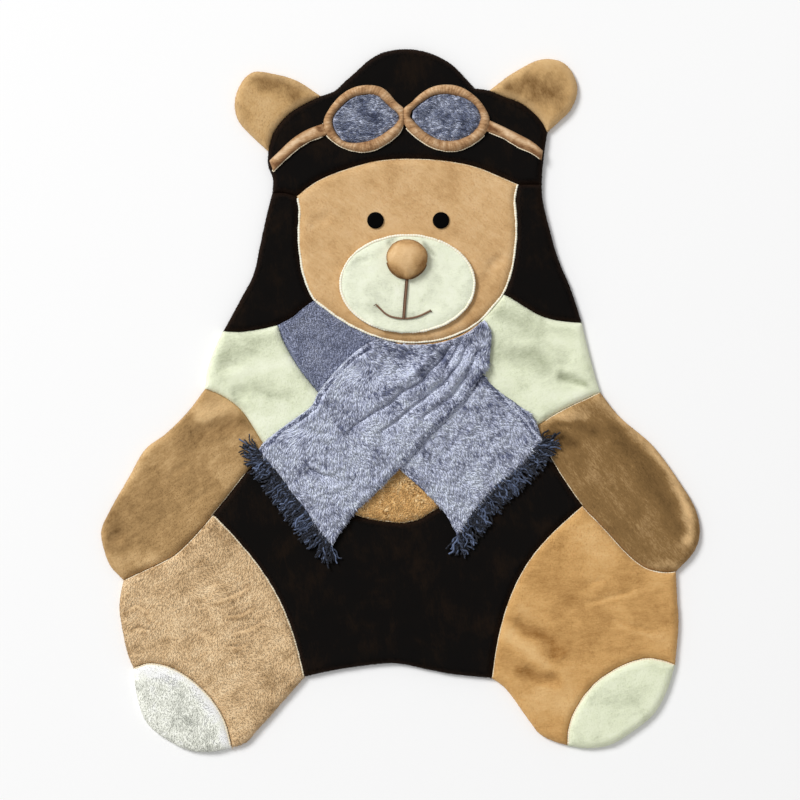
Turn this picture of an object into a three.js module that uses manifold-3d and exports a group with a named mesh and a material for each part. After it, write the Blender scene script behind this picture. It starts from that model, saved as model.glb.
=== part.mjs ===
// A play rug for a nursery, in the shape of a sitting bear in a flying cap, lying flat.
// Short plush panels are sewn edge to edge over a thin filling and are drawn down at each seam.
// On them lie the two ends of a long plush scarf with yarn fringes, padded goggles with their
// straps, a muzzle, a stuffed nose, and eyes and a mouth in thick embroidery.
// Millimetres, Z up. The head points along +Y, and the origin is under the middle of the rug.

import * as THREE from 'three';
import { mergeVertices } from 'three/addons/utils/BufferGeometryUtils.js';
import Module from 'manifold-3d';

const wasm = await Module();
wasm.setup();

// Driving dimensions

const SEAM_GAP = 0.3;
const CUT_STEP = 21;
const ROUND_STEP = 13;
const TRIM_STEP = 9;
const SCARF_STEP = 15;

const PANEL = { edge: 6, full: 13, roll: 13, rings: [4, 12], grid: 42 };
const SCARF = { edge: 3, full: 6.5, roll: 10, rings: [3.5, 10], grid: 30 };
const MUZZLE = { edge: 2.5, full: 6, roll: 18, rings: [5, 17], grid: 30 };
const LENS = { edge: 2, full: 4.5, roll: 10, rings: [4, 12], grid: 30 };
const STRAP = { edge: 1.5, full: 4.5, roll: 7, rings: [6], grid: 30 };
const NOSE = { edge: 2, full: 20, roll: 28, rings: [4, 11, 19], grid: 30 };
const EYE = { edge: 1, full: 2.5, roll: 8, rings: [5], grid: 8 };
const STITCHING = { edge: 1.6, full: 1.6, roll: 1, rings: [], grid: 30 };

const MUZZLE_OVAL = { middle: [9.5, 165], across: 96, along: 69.5, points: 34 };
const NOSE_OVAL = { middle: [8.7, 201], across: 28, along: 28, points: 20 };
const EYE_RADIUS = 12;
const EYE_POINTS = 12;
const EYE_HEIGHT = 255;
const RIM = { edge: 2.5, full: 7, stations: 30 };
const MOUTH_LINE_WIDTH = 4.3;
const SMILE_WIDTH = 3;

const HEADER = { width: 6, height: 4.2, clearance: 0.4 };
const YARN = { radius: 0.85, sides: 3, root: 2.5, low: 1.0, high: 3.1, stray: 1.3 };

// Corners where seams meet, and seams as cut on the pattern, in millimetres

const corners = {
  ear_left_low: [-188, 354],
  ear_left_high: [-114, 432],
  ear_right_low: [208, 381],
  ear_right_high: [126, 440],
  temple_left: [-182, 295],
  brow_left: [-148, 290],
  brow_right: [167, 307],
  temple_right: [200, 307],
  jaw_left: [-123, 142],
  jaw_right: [146, 151],
  flap_tip_left: [-252, 98],
  flap_tip_right: [257, 110],
  neck_corner: [-175, 107],
  chin_left: [-8, 83],
  chin_right: [114, 113],
  collar: [-96, -7],
  shoulder_left: [-278, 16],
  shoulder_right: [283, 11],
  hip_left: [-190, -71],
  hip_right: [184, -43],
  wrist_left: [-394, -256],
  wrist_right: [391, -244],
  elbow_left: [-267, -163],
  elbow_right: [258, -150],
  crotch_left: [-137, -393],
  crotch_right: [129, -395],
  toe_left: [-380, -381],
  toe_right: [390, -376],
  heel_left: [-240, -494],
  heel_right: [237, -491],
};

const seams = [
  { seam: 'ear_left_rim', step: ROUND_STEP, from: 'ear_left_high', to: 'ear_left_low',
    through: [[-148, 454], [-182, 464], [-211, 466], [-228, 449], [-236, 422], [-231, 398], [-214, 378]] },
  { seam: 'ear_left_seam', step: ROUND_STEP, from: 'ear_left_low', to: 'ear_left_high',
    through: [[-182, 378], [-160, 406], [-138, 420]] },
  { seam: 'crown_top', from: 'ear_left_high', to: 'ear_right_high',
    through: [[-104, 433], [-69, 462], [-33, 491], [9, 499], [50, 490], [82, 469], [103, 444]] },
  { seam: 'ear_right_rim', step: ROUND_STEP, from: 'ear_right_high', to: 'ear_right_low',
    through: [[163, 467], [204, 485], [235, 477], [251, 443], [241, 413], [224, 396]] },
  { seam: 'ear_right_seam', step: ROUND_STEP, from: 'ear_right_low', to: 'ear_right_high',
    through: [[198, 399], [171, 422], [148, 431]] },
  { seam: 'crown_left', from: 'ear_left_low', to: 'temple_left', through: [[-189, 337], [-182, 317]] },
  { seam: 'crown_right', from: 'ear_right_low', to: 'temple_right', through: [[204, 354], [201, 327]] },
  { seam: 'temple_left_seam', from: 'temple_left', to: 'brow_left', through: [[-167, 295]] },
  { seam: 'temple_right_seam', from: 'temple_right', to: 'brow_right', through: [] },
  { seam: 'brow', from: 'brow_left', to: 'brow_right',
    through: [[-122, 310], [-77, 329], [-23, 342], [48, 342], [103, 333], [137, 320]] },
  { seam: 'cheek_left', from: 'brow_left', to: 'jaw_left',
    through: [[-145, 273], [-146, 230], [-141, 187], [-133, 160]] },
  { seam: 'cheek_right', from: 'brow_right', to: 'jaw_right',
    through: [[163, 290], [165, 244], [162, 204], [155, 173]] },
  { seam: 'chin_over_neck', from: 'jaw_left', to: 'chin_left', through: [[-100, 124], [-69, 104], [-33, 89]] },
  { seam: 'chin_over_belly', from: 'chin_left', to: 'chin_right', through: [[21, 81], [56, 85], [90, 97]] },
  { seam: 'chin_over_shirt', from: 'chin_right', to: 'jaw_right', through: [[132, 133]] },
  { seam: 'flap_left_side', from: 'temple_left', to: 'flap_tip_left',
    through: [[-187, 277], [-200, 219], [-209, 179], [-228, 142]] },
  { seam: 'flap_right_side', from: 'temple_right', to: 'flap_tip_right',
    through: [[201, 287], [211, 244], [224, 199], [241, 159]] },
  { seam: 'flap_left_hem', from: 'flap_tip_left', to: 'neck_corner', through: [[-228, 97], [-200, 101]] },
  { seam: 'neck_top', from: 'neck_corner', to: 'jaw_left', through: [[-155, 117], [-137, 132]] },
  { seam: 'flap_right_hem', from: 'jaw_right', to: 'flap_tip_right',
    through: [[170, 137], [194, 122], [219, 114]] },
  { seam: 'neck_side', from: 'neck_corner', to: 'collar', through: [[-167, 84], [-146, 47], [-117, 11]] },
  { seam: 'neck_under', from: 'chin_left', to: 'collar', through: [[-40, 60], [-72, 26]] },
  { seam: 'shirt_left_side', from: 'flap_tip_left', to: 'shoulder_left', through: [[-265, 71], [-275, 40]] },
  { seam: 'shirt_right_side', from: 'flap_tip_right', to: 'shoulder_right', through: [[266, 71], [276, 34]] },
  { seam: 'sleeve_left', from: 'shoulder_left', to: 'hip_left',
    through: [[-249, 3], [-224, -18], [-207, -44]] },
  { seam: 'sleeve_right', from: 'shoulder_right', to: 'hip_right',
    through: [[255, -2], [226, -16], [204, -30]] },
  { seam: 'shirt_left_hem', from: 'hip_left', to: 'collar', through: [[-143, -50]] },
  { seam: 'shirt_right_hem', from: 'hip_right', to: 'chin_right', through: [[148, -28], [113, 7], [102, 57]] },
  { seam: 'arm_left_side', step: ROUND_STEP, from: 'shoulder_left', to: 'wrist_left',
    through: [[-302, -16], [-334, -48], [-363, -70], [-387, -111], [-414, -158], [-426, -186], [-423, -209],
      [-413, -236]] },
  { seam: 'arm_right_side', step: ROUND_STEP, from: 'shoulder_right', to: 'wrist_right',
    through: [[310, -23], [357, -64], [393, -112], [420, -158], [425, -192], [416, -217]] },
  { seam: 'arm_left_on_leg', from: 'wrist_left', to: 'elbow_left',
    through: [[-356, -238], [-324, -222], [-293, -193]] },
  { seam: 'arm_right_on_leg', from: 'elbow_right', to: 'wrist_right',
    through: [[290, -183], [332, -227], [361, -243]] },
  { seam: 'arm_left_on_pants', from: 'elbow_left', to: 'hip_left', through: [[-245, -136], [-221, -105]] },
  { seam: 'arm_right_on_pants', from: 'hip_right', to: 'elbow_right',
    through: [[202, -64], [218, -91], [239, -124]] },
  { seam: 'thigh_left', from: 'elbow_left', to: 'crotch_left',
    through: [[-232, -199], [-197, -243], [-171, -287], [-151, -338]] },
  { seam: 'thigh_right', from: 'elbow_right', to: 'crotch_right',
    through: [[212, -192], [180, -231], [155, -280], [138, -338]] },
  { seam: 'waist', from: 'hip_left', to: 'hip_right',
    through: [[-157, -104], [-114, -139], [-69, -162], [-22, -173], [16, -173], [56, -152], [113, -114],
      [155, -74]] },
  { seam: 'pants_hem', from: 'crotch_left', to: 'crotch_right',
    through: [[-100, -385], [-56, -378], [-8, -374], [25, -380], [70, -389]] },
  { seam: 'leg_left_side', from: 'wrist_left', to: 'toe_left',
    through: [[-400, -291], [-395, -329], [-387, -364]] },
  { seam: 'leg_right_side', from: 'wrist_right', to: 'toe_right', through: [[393, -284], [395, -315]] },
  { seam: 'leg_left_end', from: 'crotch_left', to: 'heel_left',
    through: [[-161, -420], [-201, -465], [-224, -489]] },
  { seam: 'leg_right_end', from: 'crotch_right', to: 'heel_right',
    through: [[148, -409], [178, -449], [198, -475], [215, -484]] },
  { seam: 'sole_left_seam', from: 'toe_left', to: 'heel_left',
    through: [[-356, -374], [-323, -382], [-285, -408], [-256, -444], [-245, -473]] },
  { seam: 'sole_right_seam', from: 'toe_right', to: 'heel_right',
    through: [[356, -367], [323, -374], [279, -400], [251, -435], [239, -464]] },
  { seam: 'sole_left_rim', step: ROUND_STEP, from: 'toe_left', to: 'heel_left',
    through: [[-376, -416], [-361, -459], [-327, -486], [-296, -499], [-263, -499]] },
  { seam: 'sole_right_rim', step: ROUND_STEP, from: 'toe_right', to: 'heel_right',
    through: [[380, -409], [361, -445], [326, -474], [296, -491], [263, -495]] },
];

const panels = [
  { name: 'ear_left', cloth: 'tan', seams: ['ear_left_rim', 'ear_left_seam'] },
  { name: 'ear_right', cloth: 'tan', seams: ['ear_right_rim', 'ear_right_seam'] },
  { name: 'crown', cloth: 'brown',
    seams: ['crown_top', 'ear_right_seam', 'crown_right', 'temple_right_seam', 'brow', 'temple_left_seam',
      'crown_left', 'ear_left_seam'] },
  { name: 'flap_left', cloth: 'brown',
    seams: ['temple_left_seam', 'cheek_left', 'neck_top', 'flap_left_hem', 'flap_left_side'] },
  { name: 'flap_right', cloth: 'brown',
    seams: ['temple_right_seam', 'cheek_right', 'flap_right_hem', 'flap_right_side'] },
  { name: 'face', cloth: 'tan',
    seams: ['brow', 'cheek_right', 'chin_over_shirt', 'chin_over_belly', 'chin_over_neck', 'cheek_left'] },
  { name: 'scarf_neck', cloth: 'blue_grey', seams: ['neck_top', 'chin_over_neck', 'neck_under', 'neck_side'] },
  { name: 'shirt_left', cloth: 'cream',
    seams: ['flap_left_hem', 'neck_side', 'shirt_left_hem', 'sleeve_left', 'shirt_left_side'] },
  { name: 'shirt_right', cloth: 'cream',
    seams: ['flap_right_hem', 'shirt_right_side', 'sleeve_right', 'shirt_right_hem', 'chin_over_shirt'] },
  { name: 'belly', cloth: 'golden',
    seams: ['chin_over_belly', 'shirt_right_hem', 'waist', 'shirt_left_hem', 'neck_under'] },
  { name: 'pants', cloth: 'brown',
    seams: ['waist', 'arm_right_on_pants', 'thigh_right', 'pants_hem', 'thigh_left', 'arm_left_on_pants'] },
  { name: 'arm_left', cloth: 'tan',
    seams: ['sleeve_left', 'arm_left_on_pants', 'arm_left_on_leg', 'arm_left_side'] },
  { name: 'arm_right', cloth: 'tan',
    seams: ['sleeve_right', 'arm_right_on_pants', 'arm_right_on_leg', 'arm_right_side'] },
  { name: 'leg_left', cloth: 'long_tan',
    seams: ['arm_left_on_leg', 'thigh_left', 'leg_left_end', 'sole_left_seam', 'leg_left_side'] },
  { name: 'leg_right', cloth: 'tan',
    seams: ['arm_right_on_leg', 'leg_right_side', 'sole_right_seam', 'leg_right_end', 'thigh_right'] },
  { name: 'sole_left', cloth: 'cream', seams: ['sole_left_seam', 'sole_left_rim'] },
  { name: 'sole_right', cloth: 'cream', seams: ['sole_right_seam', 'sole_right_rim'] },
];

// Soft troughs are positive in depth and soft ridges negative

const folds = [
  { on: 'shirt_left', along: [[-238, 10], [-212, 14]], width: 15, depth: 4 },
  { on: 'shirt_left', along: [[-262, 26], [-232, 34], [-206, 48]], width: 14, depth: -2 },
  { on: 'shirt_right', along: [[224, 35], [262, 22]], width: 15, depth: 5 },
  { on: 'shirt_right', along: [[136, 50], [196, 62], [248, 58]], width: 24, depth: 2 },
  { on: 'arm_left', along: [[-278, -43], [-226, -26]], width: 17, depth: 4 },
  { on: 'arm_left', along: [[-416, -192], [-392, -196]], width: 14, depth: 4 },
  { on: 'arm_right', along: [[204, -38], [248, -50]], width: 13, depth: 5 },
  { on: 'arm_right', along: [[244, -18], [284, -12]], width: 12, depth: 3 },
  { on: 'leg_right', along: [[163, -322], [192, -350], [227, -376]], width: 17, depth: 4 },
  { on: 'leg_right', along: [[160, -400], [205, -405]], width: 12, depth: 3 },
  { on: 'leg_left', along: [[-248, -272], [-206, -290]], width: 12, depth: 3 },
  { on: 'leg_left', along: [[-300, -318], [-262, -340]], width: 12, depth: 3 },
  { on: 'face', along: [[-126, 252], [-98, 262]], width: 14, depth: 2 },
  { on: 'face', along: [[126, 190], [148, 204]], width: 13, depth: 2 },
  { on: 'belly', along: [[-8, 73], [56, 75], [108, 103]], width: 34, depth: 6 },
  { on: 'belly', along: [[-36, -142], [4, -134], [44, -140]], width: 12, depth: 2 },
  { on: 'scarf_neck', along: [[-128, 92], [-92, 62]], width: 14, depth: 2 },
  { on: 'scarf_front', along: [[73, 78], [52, 53], [30, 27], [-1, 9], [-22, -7], [-66, -36]],
    width: 8, depth: 3.4 },
  { on: 'scarf_front', along: [[96, 78], [82, 50], [59, 23], [28, -1], [-25, -43]], width: 8, depth: 3.4 },
  { on: 'scarf_front', along: [[110, 71], [92, 31], [70, 4], [33, -23]], width: 7, depth: 3 },
  { on: 'scarf_front', along: [[84, 79], [66, 50], [42, 24], [4, 0]], width: 9, depth: -1.8 },
  { on: 'scarf_front', along: [[-130, -98], [-103, -109]], width: 6, depth: 2.5 },
  { on: 'scarf_back', along: [[140, -20], [176, -52]], width: 10, depth: 2 },
];

// Pieces that lie on the panels

const scarfBack = {
  top: [[115, 38], [132, 18], [165, -6], [185, -24], [195, -43], [201, -60]],
  end: [[201, -60], [188, -70], [168, -93], [132, -124], [103, -158], [81, -195]],
  left: [[81, -195], [70, -172], [56, -151], [25, -122], [-1, -99]],
  hidden: [[-1, -99], [-32, -58], [-40, -21], [-8, 18], [49, 42], [115, 38]],
};

const scarfFront = {
  fold: [[-33, 86], [-51, 78], [-71, 63], [-91, 43], [-117, 11], [-126, -7], [-160, -33], [-194, -60],
    [-202, -71]],
  end: [[-202, -71], [-191, -84], [-175, -102], [-155, -131], [-136, -154], [-117, -182], [-98, -207]],
  edge: [[-98, -207], [-85, -185], [-69, -163], [-36, -131], [0, -94], [45, -43], [89, 1], [115, 38]],
  right: [[115, 38], [124, 55], [127, 81], [125, 106], [119, 114]],
  chin: [[119, 114], [113, 109.5], [91, 94], [57, 82], [21, 78], [-8, 80], [-33, 86]],
};

const goggles = [
  { side: 'left',
    rim: [[-111, 392], [-99, 418], [-79, 438], [-55, 447], [-26, 444], [-9, 427], [2, 410], [3, 397], [2, 385],
      [-15, 367], [-48, 352], [-79, 357], [-103, 373]],
    lens: [[-97, 399], [-88, 413], [-66, 430], [-36, 432], [-18, 417], [-3, 400], [-21, 381], [-50, 367],
      [-80, 367], [-94, 383]],
    strap_top: [[-114, 391], [-133, 384], [-155, 370], [-175, 351], [-187, 340]],
    strap_foot: [[-181, 324.5], [-168, 337], [-149, 354], [-131, 366], [-108, 375]] },
  { side: 'right',
    rim: [[7, 411], [29, 436], [52, 447], [82, 446], [104, 433], [121, 413], [127, 390], [111, 369],
      [77, 353], [45, 358], [19, 375], [7, 386], [6, 398]],
    lens: [[13.5, 406], [32, 424], [50, 433], [77, 432], [102, 421], [113, 400], [99, 378], [70, 368],
      [46, 373], [23, 391]],
    strap_top: [[129.5, 396], [150, 386], [170, 376], [188, 366], [202, 354]],
    strap_foot: [[200, 340], [186, 350], [166, 359], [148, 370], [125, 380]] },
];

const mouthLine = [[9, 170], [6.5, 145], [4.5, 119.5]];
const smile = [[-35, 135], [-18, 120], [4, 115.5], [23, 118], [43, 127]];

const fringes = [
  { name: 'fringe_front', end: scarfFront.end, strands: 60, length: 27, turn: -1, lean: -0.25 },
  { name: 'fringe_back', end: scarfBack.end, strands: 64, length: 27, turn: 1, lean: 0.3 },
];

// Plush and yarn as they look

const cloths = {
  tan: { color: 0xd0a878, roughness: 0.95, metalness: 0 },
  long_tan: { color: 0xc8a882, roughness: 0.95, metalness: 0 },
  golden: { color: 0xcda05f, roughness: 0.95, metalness: 0 },
  brown: { color: 0x1c130e, roughness: 0.95, metalness: 0 },
  cream: { color: 0xe2e6cd, roughness: 0.95, metalness: 0 },
  blue_grey: { color: 0x8c8eaa, roughness: 0.9, metalness: 0 },
  light_tan: { color: 0xc6a070, roughness: 0.95, metalness: 0 },
  nose_tan: { color: 0xe1b487, roughness: 0.95, metalness: 0 },
  navy_yarn: { color: 0x2a3048, roughness: 0.9, metalness: 0 },
  black_thread: { color: 0x08090e, roughness: 0.6, metalness: 0 },
  brown_thread: { color: 0x6e4b41, roughness: 0.7, metalness: 0 },
};

const panelTop = PANEL.full + SEAM_GAP;
const rug = new THREE.Group();
const laid = [];

function addPiece(name, cloth, geometry) {
  const mesh = new THREE.Mesh(geometry, new THREE.MeshStandardMaterial(cloths[cloth]));
  mesh.name = name;
  rug.add(mesh);
}

// Outlines are lists of points that run round a piece to the left, each corner once

function pointsAlong(points, step) {
  const places = points.map(([x, y]) => new THREE.Vector3(x, y, 0));
  const curve = new THREE.CatmullRomCurve3(places, false, 'centripetal');
  const count = Math.max(1, Math.round(curve.getLength() / step));
  return curve.getSpacedPoints(count).map(({ x, y }) => new THREE.Vector2(x, y));
}

function joinSides(sides) {
  const outline = sides.flatMap((side) => side.slice(0, -1));
  return THREE.ShapeUtils.isClockWise(outline) ? outline.reverse() : outline;
}

function closedCurve(points, step) {
  const places = points.map(([x, y]) => new THREE.Vector3(x, y, 0));
  const curve = new THREE.CatmullRomCurve3(places, true, 'centripetal');
  const count = Math.round(curve.getLength() / step);
  return joinSides([curve.getSpacedPoints(count).map(({ x, y }) => new THREE.Vector2(x, y))]);
}

function oval({ middle, across, along, points }) {
  return Array.from({ length: points }, (_, index) => {
    const angle = (2 * Math.PI * index) / points;
    return new THREE.Vector2(middle[0] + across * Math.cos(angle), middle[1] + along * Math.sin(angle));
  });
}

function stroke(points, width, step) {
  const line = pointsAlong(points, step);
  const shifted = (side) => line.map((point, index) => {
    const ahead = line[Math.min(index + 1, line.length - 1)];
    const behind = line[Math.max(index - 1, 0)];
    const across = new THREE.Vector2(behind.y - ahead.y, ahead.x - behind.x).normalize();
    return point.clone().addScaledVector(across, (side * width) / 2);
  });
  const outline = [...shifted(1), ...shifted(-1).reverse()];
  return THREE.ShapeUtils.isClockWise(outline) ? outline.reverse() : outline;
}

function inwardAt(outline, index) {
  const behind = outline[(index + outline.length - 1) % outline.length];
  const here = outline[index];
  const ahead = outline[(index + 1) % outline.length];
  const left = (from, to) => new THREE.Vector2(from.y - to.y, to.x - from.x).normalize();
  const first = left(behind, here);
  const second = left(here, ahead);
  return first.clone().add(second).divideScalar(Math.max(1 + first.dot(second), 0.3));
}

function drawnIn(outline, distance) {
  return outline.map((point, index) => point.clone().addScaledVector(inwardAt(outline, index), distance));
}

function distanceToLine(point, line, closed) {
  let nearest = { distance: Infinity, place: 0 };
  const last = closed ? line.length : line.length - 1;
  for (let index = 0; index < last; index += 1) {
    const from = line[index];
    const run = line[(index + 1) % line.length].clone().sub(from);
    const share = THREE.MathUtils.clamp(point.clone().sub(from).dot(run) / run.lengthSq(), 0, 1);
    const distance = point.distanceTo(from.clone().addScaledVector(run, share));
    if (distance < nearest.distance) nearest = { distance, place: (index + share) / last };
  }
  return nearest;
}

function isInside(point, outline) {
  let inside = false;
  outline.forEach((from, index) => {
    const to = outline[(index + 1) % outline.length];
    const crosses = from.y > point.y !== to.y > point.y;
    const side = from.x + ((to.x - from.x) * (point.y - from.y)) / (to.y - from.y);
    if (crosses && point.x < side) inside = !inside;
  });
  return inside;
}

// Numbers between -1 and 1 that look random and are the same each time

function uneven(index, salt) {
  const wave = Math.sin(index * 12.9898 + salt * 78.233) * 43758.5453;
  return 2 * (wave - Math.floor(wave)) - 1;
}

// Delaunay triangles over scattered points, each wound to the left, nudged apart where points
// lie on one circle

function roundTriangle(points, a, b, c) {
  const first = points[b].clone().sub(points[a]);
  const second = points[c].clone().sub(points[a]);
  const twice = 2 * first.cross(second);
  const centre = new THREE.Vector2(
    (second.y * first.lengthSq() - first.y * second.lengthSq()) / twice,
    (first.x * second.lengthSq() - second.x * first.lengthSq()) / twice,
  );
  return { corners: [a, b, c], centre: centre.clone().add(points[a]), reach: centre.lengthSq() };
}

function triangulate(points) {
  const far = 1e5;
  const count = points.length;
  const nudge = 0.01;
  const nudged = points.map(({ x, y }, index) => (
    new THREE.Vector2(x + nudge * uneven(index, 5), y + nudge * uneven(index, 6))
  ));
  const wide = [[-far, -far], [far, -far], [0, far]].map((place) => new THREE.Vector2(...place));
  const all = [...nudged, ...wide];
  let triangles = [roundTriangle(all, count, count + 1, count + 2)];
  nudged.forEach((point, index) => {
    const open = new Set(triangles.filter(({ centre, reach }) => point.distanceToSquared(centre) < reach));
    const edges = [...open].flatMap(({ corners: [a, b, c] }) => [[a, b], [b, c], [c, a]]);
    const rim = edges.filter(([a, b]) => !edges.some(([from, to]) => from === b && to === a));
    triangles = triangles.filter((triangle) => !open.has(triangle));
    triangles.push(...rim.map(([a, b]) => roundTriangle(all, a, b, index)));
  });
  return triangles.map((triangle) => triangle.corners).filter((triangle) => Math.max(...triangle) < count);
}

// A soft piece is thin at its cut edge, rounds up to its full height and takes its own folds

function softHeight(shape, outline, ownFolds) {
  return (point) => {
    const inward = distanceToLine(point, outline, true).distance;
    const slope = 1 - Math.min(inward / shape.roll, 1);
    const round = shape.edge + (shape.full - shape.edge) * Math.sqrt(1 - slope * slope);
    const drawn = ownFolds.reduce((sum, { line, width, depth }) => {
      const { distance, place } = distanceToLine(point, line, false);
      const across = (1 + Math.cos(Math.PI * Math.min(distance / width, 1))) / 2;
      return sum + depth * across * Math.sqrt(Math.sin(Math.PI * THREE.MathUtils.clamp(place, 0, 1)));
    }, 0);
    const free = Math.min(inward / shape.roll, 1);
    return Math.max(round - drawn * free, Math.min(shape.edge, round));
  };
}

function meshPoints(shape, outline, ownFolds) {
  const inner = [];
  const place = (point, margin, spacing) => {
    if (!isInside(point, outline) || distanceToLine(point, outline, true).distance < margin) return;
    if (inner.some((other) => other.distanceTo(point) < spacing)) return;
    inner.push(point);
  };
  ownFolds.forEach(({ line, width }) => {
    [0, -1, 1].forEach((side) => line.forEach((point, index) => {
      const ahead = line[Math.min(index + 1, line.length - 1)];
      const behind = line[Math.max(index - 1, 0)];
      const across = new THREE.Vector2(behind.y - ahead.y, ahead.x - behind.x).normalize();
      place(point.clone().addScaledVector(across, side * width), 3, 0.6 * width);
    }));
  });
  shape.rings.forEach((ring, order) => {
    outline.forEach((point, index) => {
      if (order > 0 && index % 2 === 1) return;
      place(point.clone().addScaledVector(inwardAt(outline, index), ring), 0.8 * ring, 0.6 * ring + 2);
    });
  });
  const box = new THREE.Box2().setFromPoints(outline);
  const rowHeight = (shape.grid * Math.sqrt(3)) / 2;
  for (let row = 0; box.min.y + row * rowHeight < box.max.y; row += 1) {
    const start = box.min.x + (row % 2) * 0.5 * shape.grid;
    for (let x = start; x < box.max.x; x += shape.grid) {
      place(new THREE.Vector2(x, box.min.y + row * rowHeight), 0.4 * shape.grid, 0.45 * shape.grid);
    }
  }
  return [...outline, ...inner];
}

function softGeometry(shape, outline, ownFolds, heightAt, bottomAt) {
  const points = meshPoints(shape, outline, ownFolds);
  const middle = ([a, b, c]) => points[a].clone().add(points[b]).add(points[c]).divideScalar(3);
  const area = (triangle) => THREE.ShapeUtils.area(triangle.map((index) => points[index]));
  const tops = triangulate(points)
    .filter((triangle) => area(triangle) > 0.1 && isInside(middle(triangle), outline));
  const bottoms = points.map(bottomAt);
  const level = bottoms.every((bottom) => Math.abs(bottom - bottoms[0]) < 1e-6);
  const underside = level ? THREE.ShapeUtils.triangulateShape(outline, []) : tops;
  const lowPoints = level ? outline : points;
  const positions = [
    ...points.flatMap((point, index) => [point.x, point.y, bottoms[index] + heightAt(point)]),
    ...lowPoints.flatMap((point, index) => [point.x, point.y, bottoms[index]]),
  ];
  const low = points.length;
  const faces = [
    ...tops.flat(),
    ...underside.flatMap(([a, b, c]) => [low + a, low + c, low + b]),
    ...outline.flatMap((_, index) => {
      const next = (index + 1) % outline.length;
      return [low + index, low + next, next, low + index, next, index];
    }),
  ];
  const geometry = new THREE.BufferGeometry();
  geometry.setAttribute('position', new THREE.Float32BufferAttribute(positions, 3));
  geometry.setIndex(faces);
  return geometry;
}

// The height of what is already laid, the highest within reach, so cloth spans the seams below

function heightOn(pieces, point) {
  const covering = pieces.filter(({ box, outline }) => box.containsPoint(point) && isInside(point, outline));
  return Math.max(0, ...covering.map(({ topAt }) => topAt(point)));
}

function restingHeight(reach) {
  const below = [...laid];
  const ring = Array.from({ length: 8 }, (_, index) => {
    const angle = (Math.PI * index) / 4;
    return new THREE.Vector2(reach * Math.cos(angle), reach * Math.sin(angle));
  });
  return (point) => {
    const around = ring.map((offset) => heightOn(below, point.clone().add(offset)));
    return Math.max(heightOn(below, point), ...around) + SEAM_GAP;
  };
}

function layPiece({ name, cloth, shape, outline, reach }) {
  const cut = drawnIn(outline, SEAM_GAP / 2);
  const ownFolds = folds.filter(({ on }) => on === name)
    .map((fold) => ({ ...fold, line: pointsAlong(fold.along, 14) }));
  const heightAt = softHeight(shape, cut, ownFolds);
  const bottomAt = reach ? restingHeight(reach) : () => 0;
  addPiece(name, cloth, softGeometry(shape, cut, ownFolds, heightAt, bottomAt));
  const box = new THREE.Box2().setFromPoints(cut);
  return { box, outline: cut, topAt: (point) => bottomAt(point) + heightAt(point) };
}

// Panels of the rug, sewn edge to edge

const seamLines = new Map(seams.map(({ seam, from, to, through, step = CUT_STEP }) => [
  seam,
  { from, to, line: pointsAlong([corners[from], ...through, corners[to]], step) },
]));

function panelOutline(names) {
  let corner = seamLines.get(names[0]).from;
  const sides = names.map((name) => {
    const { from, to, line } = seamLines.get(name);
    const forward = from === corner;
    corner = forward ? to : from;
    return forward ? line : [...line].reverse();
  });
  return joinSides(sides);
}

laid.push(...panels.map(({ name, cloth, seams: names }) => (
  layPiece({ name, cloth, shape: PANEL, outline: panelOutline(names) })
)));

// The scarf's two loose ends, the front one across the back one

[['scarf_back', scarfBack], ['scarf_front', scarfFront]].forEach(([name, sides]) => {
  const outline = joinSides(Object.values(sides).map((side) => pointsAlong(side, SCARF_STEP)));
  laid.push(layPiece({ name, cloth: 'blue_grey', shape: SCARF, outline, reach: SCARF_STEP }));
});

// Goggles: a padded rim round each lens, and a strap from each rim to the edge of the cap

function pointTowards(outline, middle, angle) {
  const ray = new THREE.Vector2(Math.cos(angle), Math.sin(angle));
  const crossings = outline.map((from, index) => {
    const run = outline[(index + 1) % outline.length].clone().sub(from);
    const start = from.clone().sub(middle);
    const share = start.cross(ray) / ray.cross(run);
    return { share, place: from.clone().addScaledVector(run, share) };
  });
  return crossings.find(({ share, place }) => (
    share >= 0 && share < 1 && place.clone().sub(middle).dot(ray) > 0
  )).place;
}

function aroundMiddle(outline, middle) {
  return Array.from({ length: RIM.stations }, (_, index) => (
    pointTowards(outline, middle, (2 * Math.PI * index) / RIM.stations)
  ));
}

function rimGeometry(outer, inner, floor) {
  const section = [
    { across: 0, height: 0 },
    { across: 0, height: RIM.edge },
    { across: 0.25, height: 0.85 * RIM.full },
    { across: 0.5, height: RIM.full },
    { across: 0.75, height: 0.85 * RIM.full },
    { across: 1, height: RIM.edge },
    { across: 1, height: 0 },
  ];
  const positions = outer.flatMap((outside, station) => section.flatMap(({ across, height }) => {
    const point = outside.clone().lerp(inner[station], across);
    return [point.x, point.y, floor + height];
  }));
  const faces = outer.flatMap((_, station) => section.flatMap((row, index) => {
    const here = station * section.length;
    const ahead = ((station + 1) % outer.length) * section.length;
    const up = (index + 1) % section.length;
    return [here + index, ahead + index, ahead + up, here + index, ahead + up, here + up];
  }));
  const geometry = new THREE.BufferGeometry();
  geometry.setAttribute('position', new THREE.Float32BufferAttribute(positions, 3));
  geometry.setIndex(faces);
  return geometry;
}

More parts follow.
